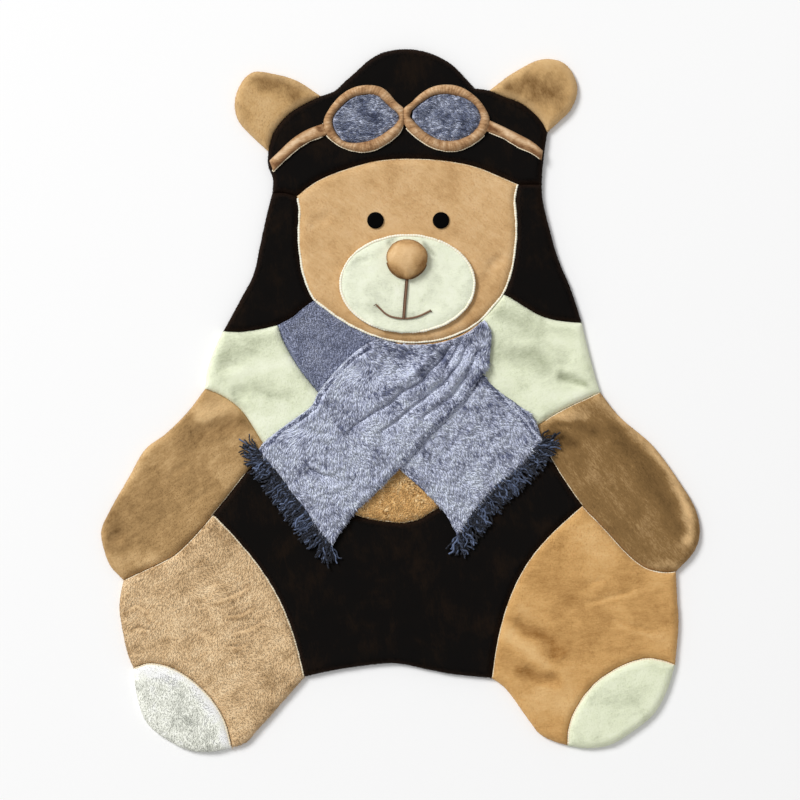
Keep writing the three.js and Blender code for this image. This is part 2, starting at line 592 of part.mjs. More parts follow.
goggles.forEach(({ side, rim, lens, strap_top, strap_foot }) => {
  const lensCurve = closedCurve(lens, TRIM_STEP);
  const middle = new THREE.Box2().setFromPoints(lensCurve).getCenter(new THREE.Vector2());
  const inner = aroundMiddle(lensCurve, middle);
  const outer = aroundMiddle(closedCurve(rim, TRIM_STEP), middle);
  addPiece(`goggle_rim_${side}`, 'light_tan', rimGeometry(outer, inner, panelTop));
  layPiece({
    name: `goggle_lens_${side}`, cloth: 'blue_grey', shape: LENS,
    outline: drawnIn(inner, SEAM_GAP), reach: TRIM_STEP,
  });
  layPiece({
    name: `goggle_strap_${side}`, cloth: 'light_tan', shape: STRAP,
    outline: joinSides([
      pointsAlong(strap_top, TRIM_STEP + 3),
      pointsAlong([strap_top.at(-1), strap_foot[0]], TRIM_STEP),
      pointsAlong(strap_foot, TRIM_STEP + 3),
      pointsAlong([strap_foot.at(-1), strap_top[0]], TRIM_STEP),
    ]),
    reach: TRIM_STEP,
  });
});

// Muzzle, nose, eyes and mouth

laid.push(layPiece({
  name: 'muzzle', cloth: 'cream', shape: MUZZLE, outline: oval(MUZZLE_OVAL), reach: 2 * TRIM_STEP,
}));
layPiece({ name: 'nose', cloth: 'nose_tan', shape: NOSE, outline: oval(NOSE_OVAL), reach: TRIM_STEP });

[['eye_left', -36], ['eye_right', 57]].forEach(([name, x]) => {
  const outline = oval({ middle: [x, EYE_HEIGHT], across: EYE_RADIUS, along: EYE_RADIUS, points: EYE_POINTS });
  layPiece({ name, cloth: 'black_thread', shape: EYE, outline, reach: EYE_RADIUS });
});

layPiece({
  name: 'mouth_line', cloth: 'brown_thread', shape: STITCHING,
  outline: stroke(mouthLine, MOUTH_LINE_WIDTH, TRIM_STEP + 4), reach: TRIM_STEP,
});
layPiece({
  name: 'smile', cloth: 'brown_thread', shape: STITCHING,
  outline: stroke(smile, SMILE_WIDTH, TRIM_STEP), reach: TRIM_STEP,
});

// Fringes: a header of yarn beside the scarf's end, with strands that lie on the rug in two layers

function toManifold(geometry) {
  geometry.deleteAttribute('normal');
  geometry.deleteAttribute('uv');
  const merged = mergeVertices(geometry, 1e-4);
  return new wasm.Manifold(new wasm.Mesh({
    numProp: 3,
    vertProperties: new Float32Array(merged.attributes.position.array),
    triVerts: new Uint32Array(merged.index.array),
  }));
}

function toGeometry(solid) {
  const { vertProperties, triVerts } = solid.getMesh();
  const geometry = new THREE.BufferGeometry();
  geometry.setAttribute('position', new THREE.BufferAttribute(new Float32Array(vertProperties), 3));
  geometry.setIndex(new THREE.BufferAttribute(new Uint32Array(triVerts), 1));
  return geometry;
}

function strandGeometry(points) {
  const section = new THREE.Shape(Array.from({ length: YARN.sides }, (_, index) => {
    const angle = (2 * Math.PI * index) / YARN.sides;
    return new THREE.Vector2(YARN.radius * Math.cos(angle), YARN.radius * Math.sin(angle));
  }));
  const extrudePath = new THREE.CatmullRomCurve3(points);
  return new THREE.ExtrudeGeometry(section, { steps: points.length - 1, extrudePath });
}

fringes.forEach(({ name, end, strands, length, turn, lean }) => {
  const places = end.map(([x, y]) => new THREE.Vector3(x, y, 0));
  const curve = new THREE.CatmullRomCurve3(places, false, 'centripetal');
  const outwardAt = (share) => {
    const along = curve.getTangentAt(share);
    return new THREE.Vector2(-turn * along.y, turn * along.x);
  };
  const beside = (share, distance) => {
    const { x, y } = curve.getPointAt(share);
    return new THREE.Vector2(x, y).addScaledVector(outwardAt(share), distance);
  };
  const shares = Array.from({ length: 13 }, (_, index) => 0.005 + (0.99 * index) / 12);
  const outline = [
    ...shares.map((share) => beside(share, HEADER.clearance)),
    ...shares.reverse().map((share) => beside(share, HEADER.clearance + HEADER.width)),
  ];
  const headerShape = new THREE.Shape(outline);
  const header = new THREE.ExtrudeGeometry(headerShape, { depth: HEADER.height, bevelEnabled: false });
  header.translate(0, 0, panelTop);
  const yarns = Array.from({ length: strands }, (_, index) => {
    const share = 0.02 + (0.96 * (index + 0.5)) / strands;
    const height = panelTop + (index % 2 ? YARN.high : YARN.low);
    const outward = outwardAt(share);
    const sideways = new THREE.Vector2(-outward.y, outward.x);
    const spread = 2 * (share - 0.5);
    const reach = length * (1 + 0.1 * uneven(index, 1));
    const fan = reach * lean * spread ** 3;
    return strandGeometry([0, 0.5, 1].map((part) => {
      const out = HEADER.clearance + HEADER.width - YARN.root + part * (reach + YARN.root);
      const drift = part * (fan + YARN.stray * uneven(index, 2 + part));
      const place = beside(share, out).addScaledVector(sideways, drift);
      return new THREE.Vector3(place.x, place.y, height);
    }));
  });
  const solid = yarns.map(toManifold).reduce((whole, yarn) => whole.add(yarn), toManifold(header));
  addPiece(name, 'navy_yarn', toGeometry(solid));
});

// The origin stands under the middle of the whole rug

const middle = new THREE.Box3().setFromObject(rug).getCenter(new THREE.Vector3());
rug.position.set(-middle.x, -middle.y, 0);

export default rug;
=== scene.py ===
# A bear shaped play rug for a nursery, lying flat on a pale floor and seen from straight above.
# It is sewn from padded plush panels. A scarf with yarn fringes, goggles, a muzzle, a nose and an
# embroidered face lie on them. Metres, with the head along +Y and the floor at Z 0.

import math

import bpy
import bmesh
import numpy as np
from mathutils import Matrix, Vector, bvhtree, geometry, kdtree, noise


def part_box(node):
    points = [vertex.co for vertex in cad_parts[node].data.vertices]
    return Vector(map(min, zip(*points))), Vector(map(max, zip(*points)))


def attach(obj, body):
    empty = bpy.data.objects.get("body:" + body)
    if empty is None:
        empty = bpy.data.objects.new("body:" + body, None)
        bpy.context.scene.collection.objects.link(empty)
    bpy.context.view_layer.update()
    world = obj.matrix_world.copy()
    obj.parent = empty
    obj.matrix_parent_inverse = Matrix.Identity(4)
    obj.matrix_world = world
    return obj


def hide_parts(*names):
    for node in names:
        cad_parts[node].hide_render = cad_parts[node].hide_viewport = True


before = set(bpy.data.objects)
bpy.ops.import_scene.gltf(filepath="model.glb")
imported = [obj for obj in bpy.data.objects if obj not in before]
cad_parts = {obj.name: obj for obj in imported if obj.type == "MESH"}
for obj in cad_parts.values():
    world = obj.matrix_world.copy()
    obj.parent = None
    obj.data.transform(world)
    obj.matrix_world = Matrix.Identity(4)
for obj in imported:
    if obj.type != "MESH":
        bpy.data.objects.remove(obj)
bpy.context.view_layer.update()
mm = 0.001


# Camera
# It hangs straight over the rug with a long lens, so that the picture takes in 1.136 m of floor,
# which is 1.42 mm for each of its 800 pixels.

picture_width = 1.136
lens = 120
sensor = 36
look_at = Vector((-0.0006, 0.0008, 0.012))

camera_data = bpy.data.cameras.new("camera")
camera_data.type = "PERSP"
camera_data.lens = lens
camera_data.sensor_width = sensor
camera = bpy.data.objects.new("camera", camera_data)
camera.location = look_at + Vector((0, 0, picture_width * lens / sensor))
camera.rotation_euler = (0, 0, 0)
bpy.context.scene.collection.objects.link(camera)
bpy.context.scene.camera = camera


# Soles
# Two half-round pads of cream plush, padded and sewn to the ends of the legs. The left one has a longer
# whitish pile, painted lighter along its seam and darker in a few soft patches, and a turned edge shows along
# both seams. Both are painted lighter at their edges, where they roll over.

sharp_bend = math.radians(34)


def cut_edges(node_name):
    """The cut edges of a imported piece, each once round to the left, the longest first."""
    mesh = bmesh.new()
    mesh.from_mesh(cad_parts[node_name].data)
    bmesh.ops.remove_doubles(mesh, verts=mesh.verts, dist=0.01 * mm)
    links = {}
    for edge in mesh.edges:
        looks = sorted(face.normal.z for face in edge.link_faces)
        if len(looks) == 2 and looks[0] < -0.3 and abs(looks[1]) < 0.1:
            start, end = edge.verts
            links.setdefault(start.index, []).append(end.index)
            links.setdefault(end.index, []).append(start.index)
    mesh.verts.ensure_lookup_table()
    places = {index: tuple(mesh.verts[index].co.xy) for index in links}
    mesh.free()
    loops = []
    unused = set(links)
    while unused:
        start = min(unused)
        walk = [start]
        unused.discard(start)
        while True:
            ahead = [index for index in links[walk[-1]] if index in unused]
            if not ahead:
                break
            walk.append(ahead[0])
            unused.discard(ahead[0])
        loop = np.array([places[index] for index in walk])
        loops.append(loop if turned_area(loop) > 0 else loop[::-1])
    return sorted(loops, key=lambda loop: -abs(turned_area(loop)))


def turned_area(loop):
    """The area inside a loop, below zero where it runs round to the right."""
    x, y = loop[:, 0], loop[:, 1]
    return 0.5 * float(np.sum(x * np.roll(y, -1) - np.roll(x, -1) * y))


def flowing(loop, step):
    """Points close together on a smooth curve through a cut edge, which keeps its sharp corners."""
    ahead = np.roll(loop, -1, 0) - loop
    behind = loop - np.roll(loop, 1, 0)
    bend = np.arctan2(behind[:, 0] * ahead[:, 1] - behind[:, 1] * ahead[:, 0], np.sum(ahead * behind, 1))
    corner = np.abs(bend) > sharp_bend
    count = len(loop)
    curve = []
    for index in range(count):
        start, end = loop[index], loop[(index + 1) % count]
        before = loop[index - 1] if not corner[index] else 2 * start - end
        after = loop[(index + 2) % count] if not corner[(index + 1) % count] else 2 * end - start
        pieces = max(1, round(np.linalg.norm(end - start) / step))
        share = np.arange(0, 1, 1 / pieces)[:, None]
        pairs = ((before, start), (start, end), (end, after))
        behind_by, by, ahead_by = (max(np.linalg.norm(b - a), 1e-6) ** 0.5 for a, b in pairs)
        leave = (start - before) / behind_by - (end - before) / (behind_by + by) + (end - start) / by
        arrive = (end - start) / by - (after - start) / (by + ahead_by) + (after - end) / ahead_by
        leave, arrive = leave * by, arrive * by
        curve.append(
            (2 * share**3 - 3 * share**2 + 1) * start + (share**3 - 2 * share**2 + share) * leave
            + (3 * share**2 - 2 * share**3) * end + (share**3 - share**2) * arrive
        )
    return np.concatenate(curve)


def inward_of(loop):
    """The direction into the piece at each point of its edge."""
    run = np.roll(loop, -1, 0) - np.roll(loop, 1, 0)
    inward = np.stack([-run[:, 1], run[:, 0]], 1)
    return inward / np.linalg.norm(inward, axis=1, keepdims=True)


def lies_in(points, loop):
    """Which points lie inside a loop."""
    inside = np.zeros(len(points), bool)
    x, y = points[:, 0], points[:, 1]
    for start, end in zip(loop, np.roll(loop, -1, 0)):
        if start[1] == end[1]:
            continue
        crosses = (start[1] > y) != (end[1] > y)
        side = start[0] + (end[0] - start[0]) * (y - start[1]) / (end[1] - start[1])
        inside ^= crosses & (x < side)
    return inside


def from_line(points, line):
    """How far points lie from a line of points, and how far along it, from 0 to 1."""
    nearest = np.full(len(points), np.inf)
    place = np.zeros(len(points))
    for index, (start, end) in enumerate(zip(line[:-1], line[1:])):
        run = end - start
        share = np.clip(((points - start) @ run) / max(run @ run, 1e-12), 0, 1)
        distance = np.linalg.norm(points - start - share[:, None] * run, axis=1)
        closer = distance < nearest
        nearest[closer] = distance[closer]
        place[closer] = (index + share[closer]) / (len(line) - 1)
    return nearest, place


def from_edge(points, loop):
    """How far points lie inside an edge, and the number of the edge point that is nearest."""
    tree = kdtree.KDTree(len(loop))
    for index, (x, y) in enumerate(loop):
        tree.insert((x, y, 0), index)
    tree.balance()
    found = [tree.find((x, y, 0)) for x, y in points]
    return np.array([distance for _, _, distance in found]), np.array([index for _, index, _ in found])


def uneven(points, size, salt):
    """Hills and hollows of that size, between about -1 and 1, the same each time."""
    return np.array([1.5 * noise.noise((x / size, y / size, salt)) for x, y in points[:, :2]])


def soft_net(loop, spacing, rings, seed):
    """The points of a soft piece, its edge first, and the triangles between them."""
    rng = np.random.default_rng(seed)
    inward = inward_of(loop)
    kept = []
    for ring in rings:
        ringed = loop + ring * inward
        near, _ = from_edge(ringed, loop)
        kept.append(ringed[(near > 0.85 * ring) & lies_in(ringed, loop)][:: 1 if ring < 3 * mm else 2])
    low, high = loop.min(0), loop.max(0)
    rows = np.arange(low[1], high[1], spacing * math.sqrt(3) / 2)
    grid = []
    for row, y in enumerate(rows):
        across = np.arange(low[0] + 0.5 * spacing * (row % 2), high[0], spacing)
        grid.append(np.stack([across, np.full(len(across), y)], 1))
    grid = np.concatenate(grid)
    grid = grid + rng.uniform(-0.18, 0.18, grid.shape) * spacing
    grid = grid[lies_in(grid, loop)]
    near, _ = from_edge(grid, loop)
    grid = grid[near > (rings[-1] if len(rings) else 0) + 0.55 * spacing]
    points = np.concatenate([loop, *kept, grid])
    flat, _, triangles, *_ = geometry.delaunay_2d_cdt(
        [Vector(point) for point in points], [], [list(range(len(loop)))], 1, 1e-7
    )
    return np.array([tuple(point) for point in flat]), np.array(triangles), len(loop)


def in_scene(name, mesh):
    """A piece of the scene, from its mesh."""
    piece = bpy.data.objects.new(name, mesh)
    bpy.context.scene.collection.objects.link(piece)
    return piece


def soft_mesh(name, net, tops, bottoms, lip, tuck):
    """A closed soft piece: its net as the top, a rolled edge with a lip, and its underside."""
    points, triangles, rim = net
    places = [np.column_stack([points, tops])]
    around = np.arange(rim)
    ahead = np.roll(around, -1)
    faces = [tuple(face) for face in triangles]
    edge = points[:rim]
    low = len(points)
    lifted = bottoms[:rim] + lip * (tops[:rim] - bottoms[:rim])
    places.append(np.column_stack([edge, lifted]))
    level = float(np.ptp(bottoms)) < 1e-6
    under = edge + tuck * inward_of(edge)
    places.append(np.column_stack([under, bottoms[:rim]]))
    for upper, lower in ((0, low), (low, low + rim)):
        faces += [(upper + a, lower + a, lower + b, upper + b) for a, b in zip(around, ahead)]
    if level:
        flat, _, floor, *_ = geometry.delaunay_2d_cdt(
            [Vector(point) for point in under], [], [list(range(rim))], 1, 1e-7
        )
        faces += [tuple(low + rim + index for index in reversed(face)) for face in floor]
        if len(flat) != rim:
            raise ValueError(name + " has an edge that crosses itself")
    else:
        places.append(np.column_stack([points[rim:], bottoms[rim:]]))
        faces += [tuple(low + rim + index for index in reversed(face)) for face in triangles]
    mesh = bpy.data.meshes.new(name)
    mesh.from_pydata(np.concatenate(places).tolist(), [], faces)
    mesh.update()
    mesh.shade_smooth()
    return in_scene(name, mesh)


def mark(piece, name, values):
    """Writes one number for each point of a piece, which its material reads."""
    given = piece.data.attributes.new(name, "FLOAT", "POINT")
    full = np.zeros(len(piece.data.vertices), np.float32)
    full[: len(values)] = values
    given.data.foreach_set("value", full)


def plan_map(piece):
    """A map of a furry piece as seen from above."""
    layer = piece.data.uv_layers.new(name="OFBake")
    places = np.zeros(3 * len(piece.data.vertices), np.float32)
    piece.data.vertices.foreach_get("co", places)
    flat = places.reshape(-1, 3)[:, :2]
    flat = (flat - flat.min(0)) / np.ptp(flat, axis=0)
    corners = np.zeros(len(piece.data.loops), np.int32)
    piece.data.loops.foreach_get("vertex_index", corners)
    layer.data.foreach_set("uv", flat[corners].astype(np.float32).ravel())


def comb_directions(points, strokes, swirl, swirl_size, salt):
    """The way the pile lies: strokes of the hand, each at a place in mm with a heading in degrees."""
    heading = np.zeros((len(points), 2))
    for at_x, at_y, degrees in strokes:
        away = np.linalg.norm(points[:, :2] - np.array([at_x, at_y]) * mm, axis=1)
        weight = 1 / (away**2 + (15 * mm) ** 2)
        angle = math.radians(degrees)
        heading += weight[:, None] * np.array([math.cos(angle), math.sin(angle)])
    angle = np.arctan2(heading[:, 1], heading[:, 0]) + swirl * uneven(points, swirl_size, salt)
    return np.stack([np.cos(angle), np.sin(angle)], 1)


def scattered(spots, triangles, per_mm2, rng):
    """Places spread over triangles: the triangle of each, its shares of the corners, its normal."""
    a, b, c = (spots[triangles[:, corner]] for corner in range(3))
    normal = np.cross(b - a, c - a)
    area = 0.5 * np.linalg.norm(normal, axis=1)
    count = np.floor(area / mm**2 * per_mm2 + rng.random(len(area))).astype(int)
    owner = np.repeat(np.arange(len(area)), count)
    u, v = rng.random(len(owner)), rng.random(len(owner))
    fold = u + v > 1
    u[fold], v[fold] = 1 - u[fold], 1 - v[fold]
    return owner, np.stack([1 - u - v, u, v], 1), (normal / (2 * area[:, None]))[owner]


def streaked(root, heading, pile, rng):
    """How light each lock is, with streaks along the way a long pile is combed."""
    strand = rng.random(len(root)) - 0.5
    if pile["combed"]:
        stops = 9
        reach = np.linspace(-0.5, 0.5, stops)[:, None, None] * pile["combed"] * mm
        along = (root[None, :, :2] + reach * heading[None]).reshape(-1, 2)
        streak = uneven(along, 2.3 * mm, pile["seed"] + 0.2).reshape(stops, -1).mean(0)
        strand = 0.3 * strand + 0.26 * streak / np.std(streak)
    return strand


def leaning(root, heading, normal, edge, inward, pile, rng):
    """The way each lock leans along the cloth: as combed, a little astray, and over the near edge."""
    turn = rng.normal(0, pile["stray"], len(root))
    heading = np.stack([heading[:, 0] * np.cos(turn) - heading[:, 1] * np.sin(turn),
                        heading[:, 0] * np.sin(turn) + heading[:, 1] * np.cos(turn)], 1)
    outward = edge - root[:, :2]
    outward /= np.maximum(np.linalg.norm(outward, axis=1, keepdims=True), 1e-6)
    rolls_over = np.clip(1 - inward / (4 * mm), 0, 1)[:, None]
    heading = heading + outward * rolls_over * pile["over_edge"]
    heading = np.column_stack([heading, np.zeros(len(root))])
    heading -= normal * np.sum(heading * normal, 1, keepdims=True)
    return heading / np.maximum(np.linalg.norm(heading, axis=1, keepdims=True), 1e-6)


def pressed_short(root, length, pile):
    """The locks' lengths where pleats part the pile and hems press it, and the painted shade they get there:
    shade in the partings, a band of it along each hem, and a lighter line at the hem's edge.
    """
    pressed_pile_shade = np.zeros(len(root))
    wandered = strayed(root, 1.8, 26 * mm)
    for line in pile["partings"]:
        away, _ = from_line(wandered, np.array(line, float) * mm)
        length = np.minimum(length, 0.8 * away + 1.2 * mm)
        pressed_pile_shade = np.maximum(pressed_pile_shade, np.exp(-(away / (3 * mm)) ** 2))
    for line in pile["hems"]:
        away, _ = from_line(root[:, :2], np.array(line, float) * mm)
        hemmed = away < pile["hem"]
        length[hemmed] *= 0.4
        pressed_pile_shade[hemmed] = np.where(away[hemmed] < 1.6 * mm, -0.3, 0.9)
    return length, pressed_pile_shade


def leaves(name, root, heading, normal, length, width, lift):
    """The mesh of a pile: each lock is a thin closed leaf of four points, rooted in the cloth."""
    side = np.cross(normal, heading)
    middle = root + heading * (0.45 * length)[:, None] + normal * (lift * 0.6 * length + 0.1 * mm)[:, None]
    tip = root + heading * length[:, None] + normal * (lift * 0.75 * length)[:, None]
    corners = np.stack([
        root - 0.3 * mm * normal,
        middle + side * width[:, None] / 2,
        middle - side * width[:, None] / 2,
        tip,
    ], 1)
    corners[..., 2] = np.maximum(corners[..., 2], 0.2 * mm)
    first = 4 * np.arange(len(root))[:, None, None]
    leaf = np.array([[0, 2, 1], [3, 1, 2], [0, 1, 3], [0, 3, 2]])
    mesh = bpy.data.meshes.new(name)
    mesh.from_pydata(corners.reshape(-1, 3).tolist(), [], (first + leaf).reshape(-1, 3).tolist())
    mesh.update()
    return mesh


def grow_pile(name, cloth, pile, material, hidden_under=()):
    """The pile of a piece: locks of fibres that lean as it was combed, but for where it is covered."""
    mesh = cloth.data
    rng = np.random.default_rng(pile["seed"])
    spots = np.zeros(3 * len(mesh.vertices), np.float32)
    mesh.vertices.foreach_get("co", spots)
    spots = spots.reshape(-1, 3).astype(float)
    triangles = np.array([face.vertices[:] for face in mesh.polygons
                          if len(face.vertices) == 3 and face.normal.z > 0.1])
    owner, shares, normal = scattered(spots, triangles, pile["per_mm2"], rng)
    root = np.einsum("nk,nkd->nd", shares, spots[triangles[owner]])
    loop = spots[: cloth["rim"]][:, :2]
    inward, nearest = from_edge(root[:, :2], loop)
    free = inward < pile["band"]
    for cover in hidden_under:
        free &= ~lies_in(root, cut_edges(cover)[0])
    root, owner, shares, normal = root[free], owner[free], shares[free], normal[free]
    inward, nearest = inward[free], nearest[free]
    marks = {}
    for given in ("painted_light", "rim"):
        values = np.zeros(len(mesh.vertices), np.float32)
        mesh.attributes[given].data.foreach_get("value", values)
        marks[given] = np.sum(shares * values[triangles[owner]], 1)
    heading = comb_directions(root, pile["strokes"], pile["swirl"], pile["swirl_size"], pile["seed"])
    strand = streaked(root, heading, pile, rng)
    heading = leaning(root, heading, normal, loop[nearest], inward, pile, rng)
    patch = uneven(root, pile["patch"], pile["seed"] + 0.5)
    length = pile["length"] * mm * (1 + 0.3 * rng.uniform(-1, 1, len(root)) + 0.2 * patch)
    length, pressed_pile_shade = pressed_short(root, length, pile)
    width = pile["width"] * mm * rng.uniform(0.7, 1.3, len(root))
    lift = pile["lift"] * rng.uniform(0.5, 1.5, len(root))
    fur = leaves(name, root, heading, normal, length, width, lift)
    if pile["soft"]:
        fur.shade_smooth()
    piece = in_scene(name, fur)
    # tip runs from 0 at a lock's root to 1 at its tip, and the shader paints shade at the roots and light at
    # the tips from it.
    mark(piece, "tip", np.tile([0.0, 0.55, 0.55, 1.0], len(root)))
    clump = uneven(root, pile["clump"], pile["seed"] + 0.9)
    # The locks' tone: clumped and random, less the painted shade where the pile is pressed.
    marks["tone"] = 0.5 + pile["clumped"] * clump + (1 - pile["clumped"]) * strand - pile["shade_where_pressed"] * pressed_pile_shade
    for given in ("tone", "rim", "painted_light"):
        mark(piece, given, np.repeat(marks[given], 4))
    fur.materials.append(material)
    plan_map(piece)
    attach(piece, "root")
    return piece


def wire(tree, kind, links=(), **settings):
    """Adds a shader node, sets it up, and joins or fills the inputs that are named."""
    node = tree.nodes.new(kind)
    for setting, value in settings.items():
        setattr(node, setting, value)
    for place, value in dict(links).items():
        if isinstance(value, bpy.types.NodeSocket):
            tree.links.new(value, node.inputs[place])
        else:
            node.inputs[place].default_value = value
    return node


def reckoned(tree, operation, *values, clamp=False):
    """The result of a sum in a shader, from numbers or from what other nodes give."""
    node = wire(tree, "ShaderNodeMath", dict(enumerate(values)), operation=operation, use_clamp=clamp)
    return node.outputs[0]


def blended(tree, share, first, second):
    """A colour in a shader between two others, the first at 0 and the second at 1."""
    return wire(tree, "ShaderNodeMix", {0: share, 6: first, 7: second}, data_type="RGBA").outputs[2]


def ramp(tree, value, low, high, start, end):
    """A value in a shader that goes from start to end as another goes from low to high."""
    return wire(tree, "ShaderNodeMapRange", {0: value, 1: low, 2: high, 3: start, 4: end}).outputs[0]


def marked(tree, name):
    """What mark() wrote on a piece, as its shader reads it."""
    return wire(tree, "ShaderNodeAttribute", attribute_name=name).outputs["Fac"]


def cloudy(tree, place, scale, **looks):
    """Uneven light and dark in a shader, between 0 and 1."""
    return wire(tree, "ShaderNodeTexNoise", {"Vector": place, "Scale": scale} | looks).outputs["Fac"]


def stretched(tree, place, by):
    """Places in a shader, stretched by a share along each axis."""
    return wire(tree, "ShaderNodeVectorMath", {0: place, 1: by}, operation="MULTIPLY").outputs[0]


def turned_by(tree, place, angle):
    """Places in a shader, turned about the upright axis."""
    node = wire(tree, "ShaderNodeVectorRotate", {"Vector": place, "Angle": angle}, rotation_type="Z_AXIS")
    return node.outputs[0]


def plush_colours():
    """Shader group: the colours of pile in three tones, with painted light and shade where it lies to the
    light or away, at roots and tips, along creases and ripples, and at its edges.
    """
    group = bpy.data.node_groups.new("plush_colours", "ShaderNodeTree")
    for name in ("Pile", "Light", "Shade", "Painted Edge Colour"):
        group.interface.new_socket(name, in_out="INPUT", socket_type="NodeSocketColor")
    for name in ("Patch Size", "Grain Size", "Nap Angle", "Patches", "Streaks", "Ripple Shading", "Crease Shading",
                 "Locks", "Root Shade", "Painted Edge"):
        group.interface.new_socket(name, in_out="INPUT", socket_type="NodeSocketFloat")
    group.interface.new_socket("Colour", in_out="OUTPUT", socket_type="NodeSocketColor")
    group.interface.new_socket("Height", in_out="OUTPUT", socket_type="NodeSocketFloat")
    given = group.nodes.new("NodeGroupInput").outputs
    place = wire(group, "ShaderNodeTexCoord").outputs["Object"]
    turned = turned_by(group, place, given["Nap Angle"])
    patches = cloudy(group, place, reckoned(group, "DIVIDE", 1.0, given["Patch Size"]),
                     Detail=4.0, Roughness=0.6, Distortion=0.4)
    grain = cloudy(group, stretched(group, turned, (1.0, 3.0, 3.0)),
                   reckoned(group, "DIVIDE", 0.33, given["Grain Size"]),
                   Detail=3.0, Roughness=0.65, Distortion=0.3)
    # Ripple shading: long soft stripes along the nap, painted light and shade as on fine ripples.
    ripple_shading = cloudy(group, stretched(group, turned, (1.0, 3.4, 1.0)), 36.0,
                     Detail=2.5, Roughness=0.55, Distortion=0.5)
    # Crease shading: thin painted lines, a lit one beside a shaded one, as on small creases.
    wrinkles = cloudy(group, place, 38.0, Detail=4.0, Roughness=0.62, Distortion=1.4)
    crease = ramp(group, wrinkles, 0.47, 0.5, 0.0, 1.0)
    uncrease = ramp(group, wrinkles, 0.5, 0.53, 1.0, -1.0)
    fade = ramp(group, wrinkles, 0.53, 0.57, 1.0, 0.0)
    creased = ramp(group, patches, 0.46, 0.6, 0.0, 1.0)
    crease_light_and_shade = reckoned(group, "MULTIPLY", reckoned(group, "MULTIPLY", crease, uncrease), fade)
    crease_light_and_shade = reckoned(group, "MULTIPLY", crease_light_and_shade, creased)
    # Painted light and shade that each piece marks, where its nap lies to the light or away and beside its
    # folds.
    value = reckoned(group, "MULTIPLY_ADD", marked(group, "painted_light"), 0.5, 0.5)
    value = reckoned(group, "MULTIPLY_ADD", crease_light_and_shade, given["Crease Shading"], value)
    # The tip mark paints the roots of the locks in shade and their tips in light.
    for source, share in ((patches, "Patches"), (grain, "Streaks"), (ripple_shading, "Ripple Shading"),
                          (marked(group, "tone"), "Locks"), (marked(group, "tip"), "Root Shade")):
        off = reckoned(group, "SUBTRACT", source, 0.5)
        value = reckoned(group, "MULTIPLY_ADD", off, given[share], value)
    dark_half = reckoned(group, "MULTIPLY", value, 2.0, clamp=True)
    light_half = reckoned(group, "MULTIPLY_ADD", value, 2.0, -1.0, clamp=True)
    shaded = blended(group, dark_half, given["Shade"], given["Pile"])
    lit = blended(group, light_half, shaded, given["Light"])
    # The rim mark paints the edge colour near the seams: a painted highlight on most plush, painted shade on
    # the left leg, the nose and the goggles.
    edge_painted = reckoned(group, "MULTIPLY", marked(group, "rim"), given["Painted Edge"], clamp=True)
    colour = blended(group, edge_painted, lit, given["Painted Edge Colour"])
    height = reckoned(group, "MULTIPLY_ADD", grain, 0.7, patches)
    wire(group, "NodeGroupOutput", {"Colour": colour, "Height": height})
    return group


def linear(red, green, blue):
    """A colour as seen on a screen, from 0 to 255, in the numbers that a shader takes."""
    return tuple((part / 255) ** 2.2 for part in (red, green, blue)) + (1.0,)


plush_group = plush_colours()


def raised_by(tree, surface, height, strength, depth):
    """Lets a shader's light and dark stand up a little, as threads and locks do."""
    raised = wire(tree, "ShaderNodeBump", {"Height": height, "Strength": strength, "Distance": depth})
    tree.links.new(raised.outputs["Normal"], surface.inputs["Normal"])


def plush(name, pile, light, shade, painted_edge_colour=None, patch_size=0.05, grain_size=0.0016, nap=0.0, patches=0.9,
          streaks=0.4, ripple_shading=0.0, crease_shading=0.0, locks=0.2, root_shade=0.2, rim=0.0, sheen=0.25):
    """A plush material in three tones, laid along its nap, with painted light and shade."""
    material = bpy.data.materials.new(name)
    material.use_nodes = True
    tree = material.node_tree
    surface = tree.nodes["Principled BSDF"]
    colours = wire(tree, "ShaderNodeGroup", node_tree=plush_group)
    values = {
        "Pile": linear(*pile), "Light": linear(*light), "Shade": linear(*shade),
        "Painted Edge Colour": linear(*(painted_edge_colour or light)), "Patch Size": patch_size, "Grain Size": grain_size,
        "Nap Angle": -math.radians(nap), "Patches": patches, "Streaks": streaks, "Ripple Shading": ripple_shading,
        "Crease Shading": crease_shading, "Locks": locks, "Root Shade": root_shade, "Painted Edge": rim,
    }
    for place, value in values.items():
        colours.inputs[place].default_value = value
    tree.links.new(colours.outputs["Colour"], surface.inputs["Base Color"])
    raised_by(tree, surface, colours.outputs["Height"], 0.25, 1.2 * mm)
    surface.inputs["Roughness"].default_value = 0.9
    surface.inputs["Specular IOR Level"].default_value = 0.15
    surface.inputs["Sheen Weight"].default_value = sheen
    surface.inputs["Sheen Roughness"].default_value = 0.45
    surface.inputs["Sheen Tint"].default_value = linear(*light)
    return material


panel = {"full": 12.6 * mm, "edge": 2.6 * mm, "roll": 12 * mm, "overlap": 0.45 * mm, "pucker": 0.7 * mm,
         "highest": 13.1 * mm, "step": 2.6 * mm, "spacing": 3.1 * mm, "rings": (1.0 * mm, 2.5 * mm, 4.8 * mm)}


def panel_height(inward):
    """How high a padded panel stands at a distance in from its seam."""
    slope = 1 - np.clip(inward / panel["roll"], 0, 1)
    return panel["edge"] + (panel["full"] - panel["edge"]) * np.sqrt(1 - slope**2)


def strayed(points, far, size):
    """Points moved about a little, so that lines measured from them wander."""
    moved = np.stack([uneven(points, size, 31.7), uneven(points, size, 57.3)], 1)
    return points[:, :2] + far * mm * moved


